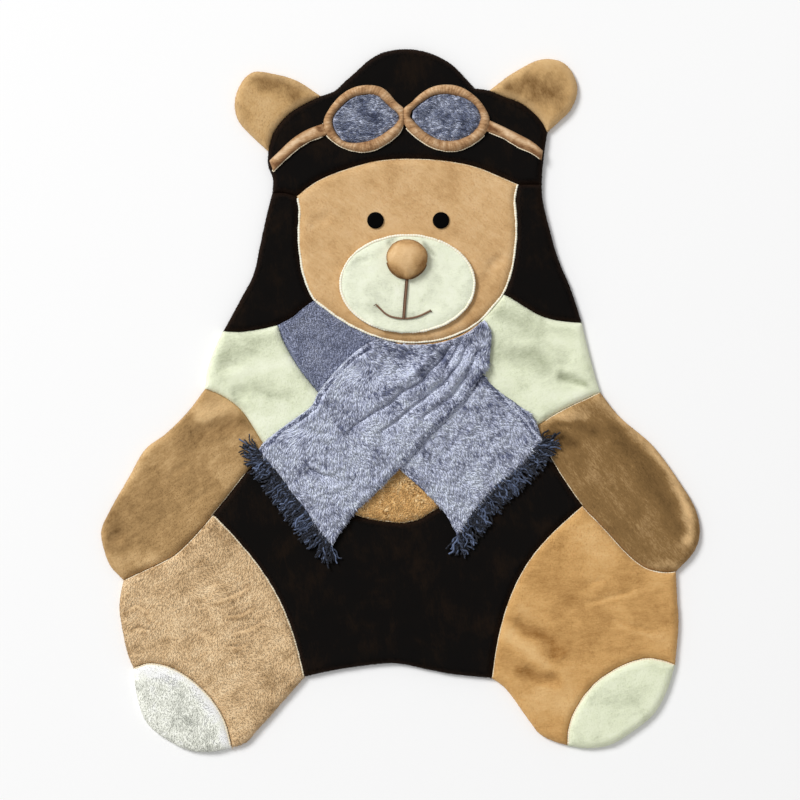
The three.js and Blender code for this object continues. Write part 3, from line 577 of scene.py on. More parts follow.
def pressed(points, folds):
    """How deep the creases go at points, each a soft trough along its line, all given in mm."""
    depth = np.zeros(len(points))
    wandered = strayed(points, 1.8, 26 * mm)
    for fold in folds:
        away, place = from_line(wandered, np.array(fold["along"], float) * mm)
        profile = (1 + np.cos(math.pi * np.clip(away / (fold["width"] * mm), 0, 1))) / 2
        depth += fold["depth"] * mm * profile * np.sqrt(np.sin(math.pi * np.clip(place, 0.001, 0.999)))
    return depth


def painted_light_at(points, strokes):
    """Painted light and shade at points, from -1 to 1, in bands along lines: where the nap lies to the light
    or away from it, and beside creases and folds.
    """
    value = np.zeros(len(points))
    wandered = strayed(points, 5, 26 * mm)
    for stroke in strokes:
        away, _ = from_line(wandered, np.array(stroke["along"], float) * mm)
        value += stroke["light"] * np.exp(-((away / (stroke["width"] * mm)) ** 2))
    return value


def put_in_place(piece, node_name, material):
    """Gives a soft piece its material and puts it in the place of a packed one."""
    piece.data.materials.append(material)
    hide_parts(node_name)
    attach(piece, "root")


def sew_panel(node_name, material, folds=(), painted_light=(), crumple=0.35, painted_edge_width=5, seed=1):
    """A padded plush panel in the place of a packed one, drawn down where it is sewn."""
    loop = flowing(cut_edges(node_name)[0], panel["step"])
    loop = loop - panel["overlap"] * inward_of(loop)
    net = soft_net(loop, panel["spacing"], panel["rings"], seed)
    points = net[0]
    inward, nearest = from_edge(points, loop)
    inward[: len(loop)] = 0
    height = panel_height(inward)
    along = nearest * panel["step"]
    gather = np.array([noise.noise((place / (11 * mm), seed, 0.3)) for place in along])
    height += panel["pucker"] * gather * np.exp(-inward / (9 * mm)) * np.clip(inward / (1.5 * mm), 0, 1)
    free = np.clip(inward / (10 * mm), 0, 1)
    hollows = 1 + uneven(points, 70 * mm, seed) + 0.6 * uneven(points, 24 * mm, seed + 9.1)
    height -= free * crumple * mm * hollows
    height = np.clip(height - free * pressed(points, folds), panel["edge"], panel["highest"])
    piece = soft_mesh(node_name + "_plush", net, height, np.zeros(len(points)), 0.3, 0.8 * mm)
    piece["rim"] = len(loop)
    put_in_place(piece, node_name, material)
    mark(piece, "tip", np.full(len(points), 0.5))
    mark(piece, "tone", np.full(len(points), 0.5))
    # Painted light and shade from the given bands, and below it the mask of the painted edge colour near the
    # seams.
    mark(piece, "painted_light", painted_light_at(points, painted_light))
    mark(piece, "rim", np.clip(1 - inward / (painted_edge_width * mm), 0, 1))
    return piece


def tubes(paths, radii, sides):
    """Closed tubes along paths of points, all of one number of points, with a radius at each."""
    count, stations, _ = paths.shape
    run = np.gradient(paths, axis=1)
    run /= np.linalg.norm(run, axis=2, keepdims=True)
    across = np.cross(run, (0, 0, 1.0))
    across /= np.maximum(np.linalg.norm(across, axis=2, keepdims=True), 1e-6)
    over = np.cross(across, run)
    turn = math.tau * (np.arange(sides) + 0.5) / sides
    ring = paths[:, :, None] + radii[:, :, None, None] * (
        across[:, :, None] * np.cos(turn)[:, None] + over[:, :, None] * np.sin(turn)[:, None]
    )
    base = (np.arange(count) * stations * sides)[:, None, None]
    station = (np.arange(stations - 1) * sides)[None, :, None]
    side = np.arange(sides)
    ahead = (side + 1) % sides
    here = base + station
    walls = np.stack([here + side, here + ahead, here + sides + ahead, here + sides + side], 3).reshape(-1, 4)
    caps = np.concatenate([base[:, 0] + side[::-1], base[:, 0] + (stations - 1) * sides + side])
    return ring.reshape(-1, 3), [tuple(face) for face in walls] + [tuple(face) for face in caps]


def solid_piece(name, places, faces, material):
    """A closed piece from its points and faces, with all its faces turned outwards."""
    mesh = bpy.data.meshes.new(name)
    mesh.from_pydata(np.asarray(places).tolist(), [], faces)
    turned = bmesh.new()
    turned.from_mesh(mesh)
    bmesh.ops.recalc_face_normals(turned, faces=turned.faces)
    turned.to_mesh(mesh)
    turned.free()
    mesh.shade_smooth()
    mesh.materials.append(material)
    piece = in_scene(name, mesh)
    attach(piece, "root")
    return piece


def edge_part(loop, start, end):
    """The part of an edge from one place to another, in mm, going round it to the left."""
    first = int(np.argmin(np.linalg.norm(loop - np.array(start) * mm, axis=1)))
    last = int(np.argmin(np.linalg.norm(loop - np.array(end) * mm, axis=1)))
    count = (last - first) % len(loop)
    return np.roll(loop, -first, 0)[: count + 1]


def evenly(line, step):
    """Points at even steps along a line of points."""
    runs = np.concatenate([[0], np.cumsum(np.linalg.norm(np.diff(line, axis=0), axis=1))])
    wanted = np.linspace(0, runs[-1], max(3, round(runs[-1] / step) + 1))
    return np.column_stack([np.interp(wanted, runs, line[:, axis]) for axis in range(line.shape[1])])


edge_step = 1.2 * mm
points_in_stitch = 3.1


def stitched_edge(name, node_name, start, end, inset, radius, material, slot, base=None, bent_down=None):
    """The thin overcast edge of a piece, which shows as a light line beside its seam."""
    loop = flowing(cut_edges(node_name)[0], 3 * mm)
    line = loop + inset * mm * inward_of(loop)
    line = edge_part(line, start, end) if start else np.vstack([line, line[:1]])
    line = evenly(line, edge_step)
    rough = 0.35 * mm * uneven(line, 9 * mm, 5.5)
    run = np.gradient(line, axis=0)
    aside = np.column_stack([-run[:, 1], run[:, 0]])
    line = line + rough[:, None] * aside / np.linalg.norm(run, axis=1)[:, None]
    level = panel_height(np.array([max(inset, 0) * mm]))[0] if base is None else base
    level = level - bent_down(line) if bent_down else level
    stitch = np.sin(math.tau * np.arange(len(line)) / points_in_stitch)
    radii = radius * mm * (1 + 0.16 * stitch + 0.25 * uneven(line, 9 * mm, 7.7))
    radii[[0, -1]] *= 0.4
    path = np.column_stack([line, np.full(len(line), level + 0.1 * radius * mm)])
    sides = 6
    places, faces = tubes(path[None], radii[None], sides)
    piece = solid_piece(name, places, faces, material)
    mark(piece, "tip", np.full(len(places), 0.5))
    # The stitches are painted lighter where they bulge, as painted light.
    mark(piece, "tone", np.repeat(0.5 + 0.5 * stitch, sides))


# Cream and white plush are painted lighter near their seams, as a painted highlight on the rolled edges.
cream_plush = plush("cream_plush", (232, 237, 208), (250, 253, 232), (172, 178, 148), patch_size=0.045,
                    painted_edge_colour=(248, 250, 230), nap=20, patches=0.9, ripple_shading=0.3, rim=0.4)
white_plush = plush("white_plush", (254, 255, 243), (255, 255, 254), (196, 198, 186), (252, 252, 240),
                    patch_size=0.018, grain_size=0.003, patches=1.6, streaks=0.5, root_shade=0.0, rim=0.9,
                    sheen=0.4)
edge_cloth = plush("edge_cloth", (244, 230, 200), (254, 246, 226), (214, 190, 150), patch_size=0.02,
                   patches=0.5, streaks=0.4, locks=0.6)
bright_edge = plush("bright_edge", (255, 250, 228), (255, 255, 246), (232, 218, 184), patch_size=0.02,
                    patches=0.5, streaks=0.4, locks=0.6)

# A pile's locks are counted to the square millimetre. They are so many mm long and wide, they lift
# by that share of their length, and they stray and swirl by so many radians.
# Where pleats part the pile or a hem presses it, its locks are painted in shade by the share given under
# shade_where_pressed; below zero they are painted lighter.
short_pile = {
    "per_mm2": 0.17, "length": 2.2, "width": 0.6, "lift": 0.25, "soft": False, "band": 1.0, "over_edge": 0.6,
    "combed": 0, "stray": 0.45, "swirl": 0.6, "swirl_size": 60 * mm, "patch": 30 * mm,
    "clump": 5 * mm, "clumped": 0.5, "partings": [], "hems": [], "hem": 0, "shade_where_pressed": 0,
}

sole_left_seam = [(-380, -382), (-330, -372), (-285, -396), (-255, -440), (-242, -491)]
sole_left_painted_light = [
    {"along": [(-372, -385), (-300, -392), (-250, -450), (-243, -485)], "width": 10, "light": 0.9},
    {"along": [(-330, -440), (-300, -455)], "width": 16, "light": -0.3},
    {"along": [(-290, -480), (-270, -470)], "width": 10, "light": -0.6},
]
sole_left = sew_panel("sole_left", white_plush, painted_light=sole_left_painted_light, seed=11,
                      crumple=0.5, painted_edge_width=3)
grow_pile("sole_left_pile", sole_left,
          short_pile | {"per_mm2": 0.3, "length": 4.4, "width": 0.8, "lift": 0.07, "stray": 0.4, "swirl": 0.9,
                        "swirl_size": 25 * mm, "strokes": [(-310, -440, -70)], "seed": 12, "soft": True,
                        "hems": [sole_left_seam], "hem": 13 * mm, "shade_where_pressed": -0.5},
          white_plush)
sole_right = sew_panel("sole_right", cream_plush, seed=13)
grow_pile("sole_right_pile", sole_right, short_pile | {"strokes": [(310, -440, -100)], "seed": 14},
          cream_plush)
stitched_edge("sole_left_edge", "sole_left", (-242, -491), (-380, -382), 1.4, 1.4, edge_cloth, "cream_plush")
stitched_edge("sole_right_edge", "sole_right", (390, -369), (238, -490), 1.2, 1.5, edge_cloth, "cream_plush")


# Legs
# The left leg is cut from a lighter plush with a longer, mottled pile, and the right one from short tan
# plush, with soft creases where it is drawn in at the knee and the heel. Painted shade lies in and below the
# creases and painted light on the ridges between, and the left leg's plush is painted darker at its edge, the
# right one's lighter.

long_tan_plush = plush("long_tan_plush", (232, 199, 154), (250, 222, 180), (176, 142, 100), (188, 152, 110),
                       patch_size=0.024, grain_size=0.003, nap=28, patches=1.2, streaks=0.3, ripple_shading=1.0,
                       crease_shading=0.1, locks=0.16, root_shade=0.05, rim=0.3)
tan_plush = plush("tan_plush", (210, 164, 104), (232, 192, 134), (154, 110, 60), (226, 188, 138),
                  nap=4, patches=1.0, streaks=0.5, ripple_shading=0.4, rim=0.3)

shaded_creases = [
    {"line": [(-263, -284), (-240, -276), (-211, -260)], "depth": 1.6, "light": -0.6},
    {"line": [(-249, -305), (-228, -304), (-207, -291)], "depth": 1.6, "light": -0.6},
    {"line": [(-239, -329), (-220, -326), (-197, -315)], "depth": 1.5, "light": -0.5},
    {"line": [(-249, -348), (-232, -350), (-214, -344)], "depth": 1.3, "light": -0.4},
    {"line": [(-394, -301), (-376, -291), (-360, -298), (-356, -312)], "depth": 1.3, "light": -0.5},
]
shade_below = 4
leg_left_folds = [
    {"along": [(-280, -266), (-262, -258), (-250, -262)], "width": 5, "depth": 1.3},
    *({"along": crease["line"], "width": 5, "depth": crease["depth"]} for crease in shaded_creases),
    {"along": [(-387, -330), (-372, -322), (-356, -326)], "width": 5, "depth": 1.2},
    {"along": [(-300, -318), (-262, -340)], "width": 9, "depth": 1.4},
]
leg_left_painted_light = [
    {"along": [(-180, -400), (-190, -420)], "width": 34, "light": -0.4},
    *({"along": [(x, y - shade_below) for x, y in crease["line"]], "width": 2.5, "light": crease["light"]}
      for crease in shaded_creases),
    {"along": [(-350, -270), (-300, -300)], "width": 30, "light": 0.2},
    {"along": [(-268, -188), (-240, -215)], "width": 14, "light": -0.35},
]
leg_left = sew_panel("leg_left", long_tan_plush, leg_left_folds, leg_left_painted_light,
                     crumple=0.6, seed=21)
grow_pile("leg_left_pile", leg_left,
          short_pile | {"per_mm2": 0.36, "length": 4.6, "width": 0.8, "swirl": 0.8,
                        "swirl_size": 50 * mm, "seed": 22, "soft": True, "lift": 0.08, "stray": 0.3,
                        "strokes": [(-350, -280, -110), (-260, -240, -60), (-230, -400, -40),
                                    (-320, -360, -80)]},
          long_tan_plush)
stitched_edge("leg_left_thigh_edge", "leg_left", (-140, -393), (-266, -166), 1.0, 1.5, edge_cloth,
              "long_tan_plush")
stitched_edge("leg_left_arm_edge", "leg_left", (-266, -166), (-394, -253), 1.2, 0.8, edge_cloth,
              "long_tan_plush")

leg_right_folds = [
    {"along": [(164, -312), (200, -332), (228, -364)], "width": 22, "depth": 5.6},
    {"along": [(176, -380), (205, -396), (228, -402)], "width": 15, "depth": 4.2},
    {"along": [(160, -340), (190, -362), (206, -374)], "width": 13, "depth": -1.4},
    {"along": [(265, -287), (300, -280), (336, -267)], "width": 6, "depth": 1.5},
    {"along": [(300, -312), (340, -322), (370, -332)], "width": 6, "depth": 1.5},
    {"along": [(262, -262), (290, -255)], "width": 6, "depth": 1.4},
]
leg_right_painted_light = [
    {"along": [(164, -314), (200, -334), (228, -364)], "width": 13, "light": -0.85},
    {"along": [(154, -334), (190, -360), (209, -374)], "width": 9, "light": 0.65},
    {"along": [(176, -382), (226, -404)], "width": 11, "light": -0.65},
    {"along": [(200, -417), (235, -433)], "width": 20, "light": 0.5},
    {"along": [(265, -292), (336, -272)], "width": 3, "light": 0.4},
    {"along": [(300, -317), (370, -337)], "width": 3, "light": 0.4},
    {"along": [(210, -250), (300, -330)], "width": 34, "light": -0.35},
    {"along": [(320, -260), (350, -330)], "width": 24, "light": -0.2},
    {"along": [(262, -190), (300, -230)], "width": 16, "light": 0.25},
]
leg_right = sew_panel("leg_right", tan_plush, leg_right_folds, leg_right_painted_light,
                      crumple=0.5, seed=23)
grow_pile("leg_right_pile", leg_right, short_pile | {"strokes": [(270, -300, -75)], "seed": 24},
          tan_plush)
stitched_edge("leg_right_thigh_edge", "leg_right", (258, -152), (131, -395), 1.2, 0.8, edge_cloth,
              "tan_plush")
stitched_edge("leg_right_arm_edge", "leg_right", (393, -243), (258, -152), 1.2, 0.9, edge_cloth, "tan_plush")


# Pants
# One panel of dark brown plush with a short dense pile, painted a lighter reddish brown where it turns over,
# as a painted highlight on the rolled edge. It is sewn to the belly, the arms and both legs, and drawn down
# at each seam.

brown_plush = plush("brown_plush", (13, 8, 3), (36, 25, 14), (7, 5, 2), (54, 36, 24), patch_size=0.06,
                    patches=1.3, nap=-80, ripple_shading=0.4, sheen=0.02, rim=0.5)
brown_pile = short_pile | {"per_mm2": 0.35, "length": 2.6, "width": 0.7, "band": 9 * mm}

pants = sew_panel("pants", brown_plush, crumple=0.4, seed=31, painted_edge_width=7)
grow_pile("pants_pile", pants, brown_pile | {"strokes": [(0, -280, -85)], "seed": 32},
          brown_plush, hidden_under=("scarf_front", "scarf_back"))


# Arms
# Tan plush, with painted light and shade along its folds and a painted highlight at its edges. The right arm
# is a darker copy of the left arm's plush, as painted shade where its pile lies away from the light, with a
# painted highlight along its outer edge, where it rolls over.

arm_plush = plush("arm_plush", (178, 143, 97), (226, 190, 138), (112, 84, 50), (214, 178, 130),
                  patch_size=0.04, nap=35, patches=1.0, streaks=0.5, ripple_shading=0.5, rim=0.35)
shaded_arm_plush = plush("shaded_arm_plush", (139, 108, 68), (228, 190, 138), (90, 67, 39), (200, 160, 110),
                       patch_size=0.07, nap=-50, patches=0.5, streaks=0.5, ripple_shading=0.35, rim=0.35)

arm_left_folds = [
    {"along": [(-299, -45), (-268, -40), (-231, -31)], "width": 17, "depth": 3.8},
    {"along": [(-416, -192), (-392, -196)], "width": 14, "depth": 3.2},
    {"along": [(-330, -110), (-300, -90)], "width": 10, "depth": 1.2},
    {"along": [(-300, -150), (-270, -128)], "width": 8, "depth": 1.0},
]
arm_left_painted_light = [
    {"along": [(-285, -22), (-253, -6), (-224, 0)], "width": 12, "light": 0.75},
    {"along": [(-300, -62), (-266, -46), (-228, -34)], "width": 13, "light": -0.45},
    {"along": [(-263, -74), (-214, -57)], "width": 14, "light": 0.25},
    {"along": [(-415, -160), (-408, -206)], "width": 17, "light": -0.5},
    {"along": [(-398, -227), (-356, -234)], "width": 14, "light": 0.4},
    {"along": [(-356, -57), (-398, -128)], "width": 10, "light": 0.25},
    {"along": [(-330, -110), (-300, -90)], "width": 8, "light": -0.2},
]
arm_left = sew_panel("arm_left", arm_plush, arm_left_folds, arm_left_painted_light, crumple=0.5,
                     seed=41)
grow_pile("arm_left_pile", arm_left,
          short_pile | {"strokes": [(-330, -140, -130), (-280, -40, -100)], "seed": 42},
          arm_plush, hidden_under=("scarf_front",))
stitched_edge("arm_left_edge", "arm_left", (-268, -163), (-222, -101), 1.0, 0.8, edge_cloth, "tan_plush")

arm_right_folds = [
    {"along": [(212, -50), (230, -56), (249, -60)], "width": 12, "depth": 4},
    {"along": [(249, -25), (270, -40)], "width": 11, "depth": 2.6},
    {"along": [(300, -40), (340, -86), (372, -132), (390, -172)], "width": 14, "depth": 1.6},
]
arm_right_painted_light = [
    {"along": [(306, -42), (342, -86), (376, -140), (394, -182)], "width": 16, "light": -0.5},
    {"along": [(318, -26), (370, -88), (398, -133), (413, -179), (410, -200)], "width": 9, "light": 0.85},
    {"along": [(280, 4), (318, -26)], "width": 9, "light": 0.5},
    {"along": [(208, -20), (262, -22)], "width": 9, "light": 0.5},
    {"along": [(212, -52), (249, -62)], "width": 8, "light": -0.8},
    {"along": [(216, -38), (240, -36)], "width": 4, "light": -0.6},
    {"along": [(252, -30), (275, -46)], "width": 9, "light": -0.6},
    {"along": [(262, -66), (290, -120)], "width": 12, "light": 0.15},
    {"along": [(340, -238), (396, -236)], "width": 7, "light": 0.35},
]
arm_right = sew_panel("arm_right", shaded_arm_plush, arm_right_folds, arm_right_painted_light,
                      crumple=0.5, seed=43)
grow_pile("arm_right_pile", arm_right, short_pile | {"strokes": [(330, -140, -60)], "seed": 44},
          shaded_arm_plush, hidden_under=("scarf_back",))
stitched_edge("arm_right_sleeve_edge", "arm_right", (285, 14), (205, -28), 1.0, 0.9, edge_cloth, "tan_plush")
stitched_edge("arm_right_edge", "arm_right", (212, -75), (255, -151), 1.0, 0.8, edge_cloth, "tan_plush")


# Shirt
# Two panels of cream plush, creased across where the sleeves are drawn in. They are sewn to the
# ear flaps, the arms and the belly, and the ends of the scarf lie over them.

# The shirts carry painted shade along their creases and painted light on the folds beside them.
shirt_left_folds = [
    {"along": [(-238, 10), (-212, 14)], "width": 15, "depth": 3.6},
    {"along": [(-268, 24), (-236, 36), (-200, 52)], "width": 12, "depth": -0.6},
    {"along": [(-262, 44), (-226, 50)], "width": 12, "depth": 1.6},
]
shirt_left_painted_light = [
    {"along": [(-236, 6), (-205, 16), (-160, 8)], "width": 9, "light": -0.5},
    {"along": [(-250, 60), (-205, 76), (-177, 90)], "width": 11, "light": -0.5},
    {"along": [(-235, 36), (-153, 60)], "width": 10, "light": 0.5},
    {"along": [(-200, -30), (-170, -20)], "width": 14, "light": 0.4},
]
shirt_left = sew_panel("shirt_left", cream_plush, shirt_left_folds, shirt_left_painted_light,
                       crumple=0.6, seed=51)
grow_pile("shirt_left_pile", shirt_left, short_pile | {"strokes": [(-220, 40, -120)], "seed": 52},
          cream_plush, hidden_under=("scarf_front",))

shirt_right_folds = [
    {"along": [(225, 37), (244, 29), (263, 23)], "width": 12, "depth": 4.6},
    {"along": [(136, 50), (196, 62), (248, 58)], "width": 24, "depth": 1.8},
]
shirt_right_painted_light = [
    {"along": [(225, 37), (263, 23)], "width": 6, "light": -0.9},
    {"along": [(141, 128), (175, 112), (198, 92)], "width": 12, "light": -0.45},
    {"along": [(150, 70), (200, 56)], "width": 16, "light": -0.5},
    {"along": [(190, 10), (260, 0)], "width": 12, "light": 0.45},
    {"along": [(200, 84), (250, 84)], "width": 9, "light": 0.35},
]
shirt_right = sew_panel("shirt_right", cream_plush, shirt_right_folds,
                        shirt_right_painted_light, crumple=0.6, seed=53)
grow_pile("shirt_right_pile", shirt_right, short_pile | {"strokes": [(210, 50, -70)], "seed": 54},
          cream_plush, hidden_under=("scarf_front", "scarf_back"))


# Belly
# Golden plush with a crumpled pile, its crumples painted as fine lines of light and shade. Only its lower end
# shows between the ends of the scarf, with its overcast edge above the pants.

golden_plush = plush("golden_plush", (230, 184, 120), (248, 216, 162), (152, 108, 58), patch_size=0.018,
                     grain_size=0.0026, patches=1.2, streaks=0.7, crease_shading=1.0, locks=0.3, root_shade=0.1)

belly_folds = [
    {"along": [(-8, 73), (56, 75), (108, 103)], "width": 34, "depth": 5},
    {"along": [(-36, -142), (4, -134), (44, -140)], "width": 12, "depth": 1.8},
]
belly = sew_panel("belly", golden_plush, belly_folds, crumple=0.8, seed=61)
grow_pile("belly_pile", belly,
          short_pile | {"per_mm2": 0.45, "length": 3.8, "width": 0.9, "lift": 0.2, "stray": 0.6, "swirl": 1.8,
                        "swirl_size": 16 * mm, "strokes": [(0, -130, -90)], "seed": 62, "soft": True},
          golden_plush, hidden_under=("scarf_front", "scarf_back"))
stitched_edge("belly_edge", "belly", (-80, -158), (70, -158), 1.2, 0.8, edge_cloth, "golden_plush")


# Scarf at the neck
# A panel of blue-grey plush with a long brushed pile, sewn in between the cap, the chin and the
# shirt, as the part of the scarf that goes round the neck. Its long edge is turned in as a hem.

# The scarf's plushes are painted darker at the roots of the locks and lighter at their tips, as painted shade
# and light.
scarf_plush = plush("scarf_plush", (224, 230, 252), (234, 241, 255), (106, 112, 141), patch_size=0.024,
                    grain_size=0.0026, nap=-45, patches=2.2, streaks=0.4, locks=0.75, root_shade=0.35, sheen=0.15)
neck_plush = plush("neck_plush", (156, 163, 190), (206, 212, 234), (94, 100, 128), patch_size=0.03,
                   grain_size=0.0026, nap=-45, patches=1.0, streaks=0.3, locks=0.34, root_shade=0.2, sheen=0.15)
long_pile = short_pile | {
    "per_mm2": 0.52, "length": 10.5, "width": 1.3, "lift": 0.13, "soft": True, "over_edge": 0.3,
    "combed": 22, "stray": 0.18, "swirl": 0.9, "swirl_size": 30 * mm, "patch": 14 * mm,
    "clump": 4 * mm, "clumped": 0.55, "hem": 7 * mm, "shade_where_pressed": 0.8,
}

neck_folds = [{"along": [(-128, 92), (-92, 62)], "width": 14, "depth": 2}]
scarf_neck = sew_panel("scarf_neck", neck_plush, neck_folds, crumple=0.6, seed=71)
grow_pile("scarf_neck_pile", scarf_neck,
          long_pile | {"length": 7, "width": 1.5, "strokes": [(-110, 60, -50)], "swirl": 0.5, "seed": 72,
                       "hems": [[(-172, 108), (-160, 80), (-140, 40), (-128, 16)]]},
          neck_plush, hidden_under=("scarf_front",))


# Face
# Tan plush brushed downwards, with a few shallow dents, painted shade beside them and on the lower cheeks,
# and painted light round the eyes. Its overcast edge is lighter than the pile and shows as a thin line round
# the cheeks and the chin.

face_plush = plush("face_plush", (213, 174, 124), (232, 198, 152), (176, 134, 86), patch_size=0.04, nap=-38,
                   patches=1.1, ripple_shading=0.5, streaks=0.6)

face_folds = [
    {"along": [(-126, 252), (-98, 262)], "width": 14, "depth": 2},
    {"along": [(126, 190), (148, 204)], "width": 13, "depth": 2},
    {"along": [(96, 150), (124, 176), (138, 204)], "width": 12, "depth": 1.0},
]
face_painted_light = [
    {"along": [(-36, 255), (-35, 255)], "width": 16, "light": 0.3},
    {"along": [(57, 255), (58, 255)], "width": 16, "light": 0.3},
    {"along": [(100, 120), (140, 170)], "width": 18, "light": -0.35},
    {"along": [(-100, 130), (-60, 100)], "width": 16, "light": -0.25},
    {"along": [(-110, 250), (-80, 256)], "width": 14, "light": -0.2},
]
face = sew_panel("face", face_plush, face_folds, face_painted_light, crumple=0.5, seed=81)
grow_pile("face_pile", face, short_pile | {"strokes": [(0, 250, -60)], "seed": 82},
          face_plush, hidden_under=("muzzle", "scarf_front"))
stitched_edge("face_edge", "face", (-147, 288), (166, 307), 0.7, 1.8, bright_edge, "tan_plush",
              panel_height(np.array([1.7 * mm]))[0])
stitched_edge("brow_edge", "face", (166, 307), (-147, 288), 1.4, 0.6, edge_cloth, "tan_plush")


# Flying cap
# The crown and the two ear flaps, of the same dark brown plush as the pants. They are sewn round
# the face, and the goggles lie on the crown.

crown = sew_panel("crown", brown_plush, crumple=0.4, seed=91, painted_edge_width=7)
goggle_pieces = tuple(f"goggle_{part}_{side}" for part in ("rim", "strap") for side in ("left", "right"))
grow_pile("crown_pile", crown, brown_pile | {"strokes": [(0, 400, -90)], "seed": 92},
          brown_plush, hidden_under=goggle_pieces)
for side, stroke, seed in (("left", (-190, 200, -100), 93), ("right", (190, 200, -80), 95)):
    flap = sew_panel("flap_" + side, brown_plush, crumple=0.4, seed=seed, painted_edge_width=7)
    grow_pile("flap_" + side + "_pile", flap, brown_pile | {"strokes": [stroke], "seed": seed + 1},
              brown_plush)


# Ears
# Tan plush, sewn into the seam of the crown, painted darker in the middle and lighter round its edge, where a
# painted highlight stands for the light on its roll. The right one is painted darker in the middle than the
# left.

ear_plush = plush("ear_plush", (200, 162, 110), (222, 188, 138), (128, 96, 58), (218, 184, 136),
                  patch_size=0.03, nap=-60, patches=1.2, rim=0.6)
ear_painted_light = {
    "left": [{"along": [(-196, 452), (-150, 440)], "width": 18, "light": -0.6},
             {"along": [(-200, 400), (-180, 420)], "width": 16, "light": 0.3}],
    "right": [{"along": [(156, 448), (186, 450), (214, 436)], "width": 17, "light": -0.85},
              {"along": [(150, 440), (190, 420)], "width": 10, "light": -0.3}],
}
for side, turn, seed in (("left", -120, 101), ("right", -60, 103)):
    ear = sew_panel("ear_" + side, ear_plush, painted_light=ear_painted_light[side], crumple=0.5,
                    painted_edge_width=12, seed=seed)
    grow_pile("ear_" + side + "_pile", ear, short_pile | {"strokes": [(0, 430, turn)], "seed": seed + 1},
              ear_plush)


# Muzzle
# An oval of cream plush over a thin pad, stitched on the face with its overcast edge showing. It has a few
# soft dents near its rim, with painted shade in them and beside the nose.


def under_piece(node_name, points):
    """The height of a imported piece's underside at points."""
    mesh = bmesh.new()
    mesh.from_mesh(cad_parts[node_name].data)
    tree = bvhtree.BVHTree.FromBMesh(mesh)
    mesh.free()
    middle = points.mean(0)
    heights = []
    for point in points:
        for pull in (0.0, 0.004, 0.02, 0.06):
            x, y = point + pull * (middle - point)
            hit = tree.ray_cast(Vector((x, y, -0.01)), Vector((0, 0, 1)))[0]
            if hit is not None:
                break
        heights.append(hit.z if hit is not None else np.nan)
    heights = np.array(heights)
    heights[np.isnan(heights)] = np.nanmean(heights)
    return heights


def smoothed(values, triangles, passes):
    """Values at the points of a net, each drawn towards those beside it."""
    sides = np.concatenate([triangles[:, [0, 1]], triangles[:, [1, 2]], triangles[:, [2, 0]]])
    both = np.concatenate([sides, sides[:, ::-1]])
    count = np.bincount(both[:, 0], minlength=len(values))
    for _ in range(passes):
        total = np.bincount(both[:, 0], weights=values[both[:, 1]], minlength=len(values))
        values = 0.5 * values + 0.5 * total / count
    return values


hem_seam = {"in": 7.5 * mm, "width": 1.6 * mm, "depth": 1.3 * mm}


def lay_piece(node_name, name, material, shape, folds=(), painted_light=(), crumple=0.3, seed=1,
              spacing=2.6 * mm, drape=12, hems=(), painted_edge_width=3, shaped=None, bent_down=None):
    """A soft piece laid on the panels in the place of a packed one."""
    loop = flowing(cut_edges(node_name)[0], 2.2 * mm)
    loop = shaped(loop) if shaped else loop
    net = soft_net(loop, spacing, shape["rings"], seed)
    points, triangles, _ = net
    inward, _ = from_edge(points, loop)
    inward[: len(loop)] = 0
    bottoms = under_piece(node_name, points)
    if np.ptp(bottoms) > 0.05 * mm:
        bottoms = smoothed(bottoms, triangles, drape)
    else:
        bottoms[:] = bottoms.mean()
    bottoms = bottoms - bent_down(points) if bent_down else bottoms
    slope = 1 - np.clip(inward / shape["roll"], 0, 1)
    height = shape["edge"] + (shape["full"] - shape["edge"]) * np.sqrt(1 - slope**2)
    free = np.clip(inward / (0.6 * shape["roll"]), 0, 1)
    hollows = 0.6 + uneven(points, 30 * mm, seed) + 0.5 * uneven(points, 11 * mm, seed + 3.7)
    height -= free * crumple * mm * hollows
    height -= free * pressed(points, folds)
    for hem in hems:
        away, _ = from_line(points, np.array(hem, float) * mm)
        height -= hem_seam["depth"] * np.exp(-(((away - hem_seam["in"]) / hem_seam["width"]) ** 2))
    height = np.maximum(height, 0.35 * shape["edge"])
    piece = soft_mesh(name, net, bottoms + height, bottoms, 0.4, 0.3 * mm)
    piece["rim"] = len(loop)
    put_in_place(piece, node_name, material)
    mark(piece, "tip", np.full(len(points), 0.5))
    mark(piece, "tone", np.full(len(points), 0.5))
    # Painted light and shade from the given bands, and below it the mask of the painted edge colour near the
    # edge.
    mark(piece, "painted_light", painted_light_at(points, painted_light))
    mark(piece, "rim", np.clip(1 - inward / (painted_edge_width * mm), 0, 1))
    return piece, loop


panel_top = 13.3 * mm
muzzle_shape = {"edge": 1.6 * mm, "full": 5.6 * mm, "roll": 14 * mm, "rings": (1.0 * mm, 2.6 * mm, 5 * mm)}
muzzle_folds = [
    {"along": [(-66, 196), (-40, 206)], "width": 9, "depth": 1.4},
    {"along": [(-20, 222), (-8, 214)], "width": 5, "depth": 1.6},
    {"along": [(36, 216), (48, 206)], "width": 5, "depth": 1.8},
    {"along": [(-62, 132), (-30, 122)], "width": 9, "depth": 1.2},
    {"along": [(30, 140), (56, 130)], "width": 10, "depth": 1.2},
    {"along": [(60, 190), (84, 178)], "width": 9, "depth": 0.8},
]
muzzle_painted_light = [
    {"along": [(-64, 196), (-30, 210)], "width": 7, "light": -0.45},
    {"along": [(-22, 222), (-10, 230)], "width": 4, "light": -0.9},
    {"along": [(34, 220), (46, 208)], "width": 4, "light": -1.0},
    {"along": [(-40, 128), (20, 118)], "width": 9, "light": -0.3},
]
muzzle_plush = plush("muzzle_plush", (240, 244, 220), (252, 254, 238), (186, 190, 168), patch_size=0.03)
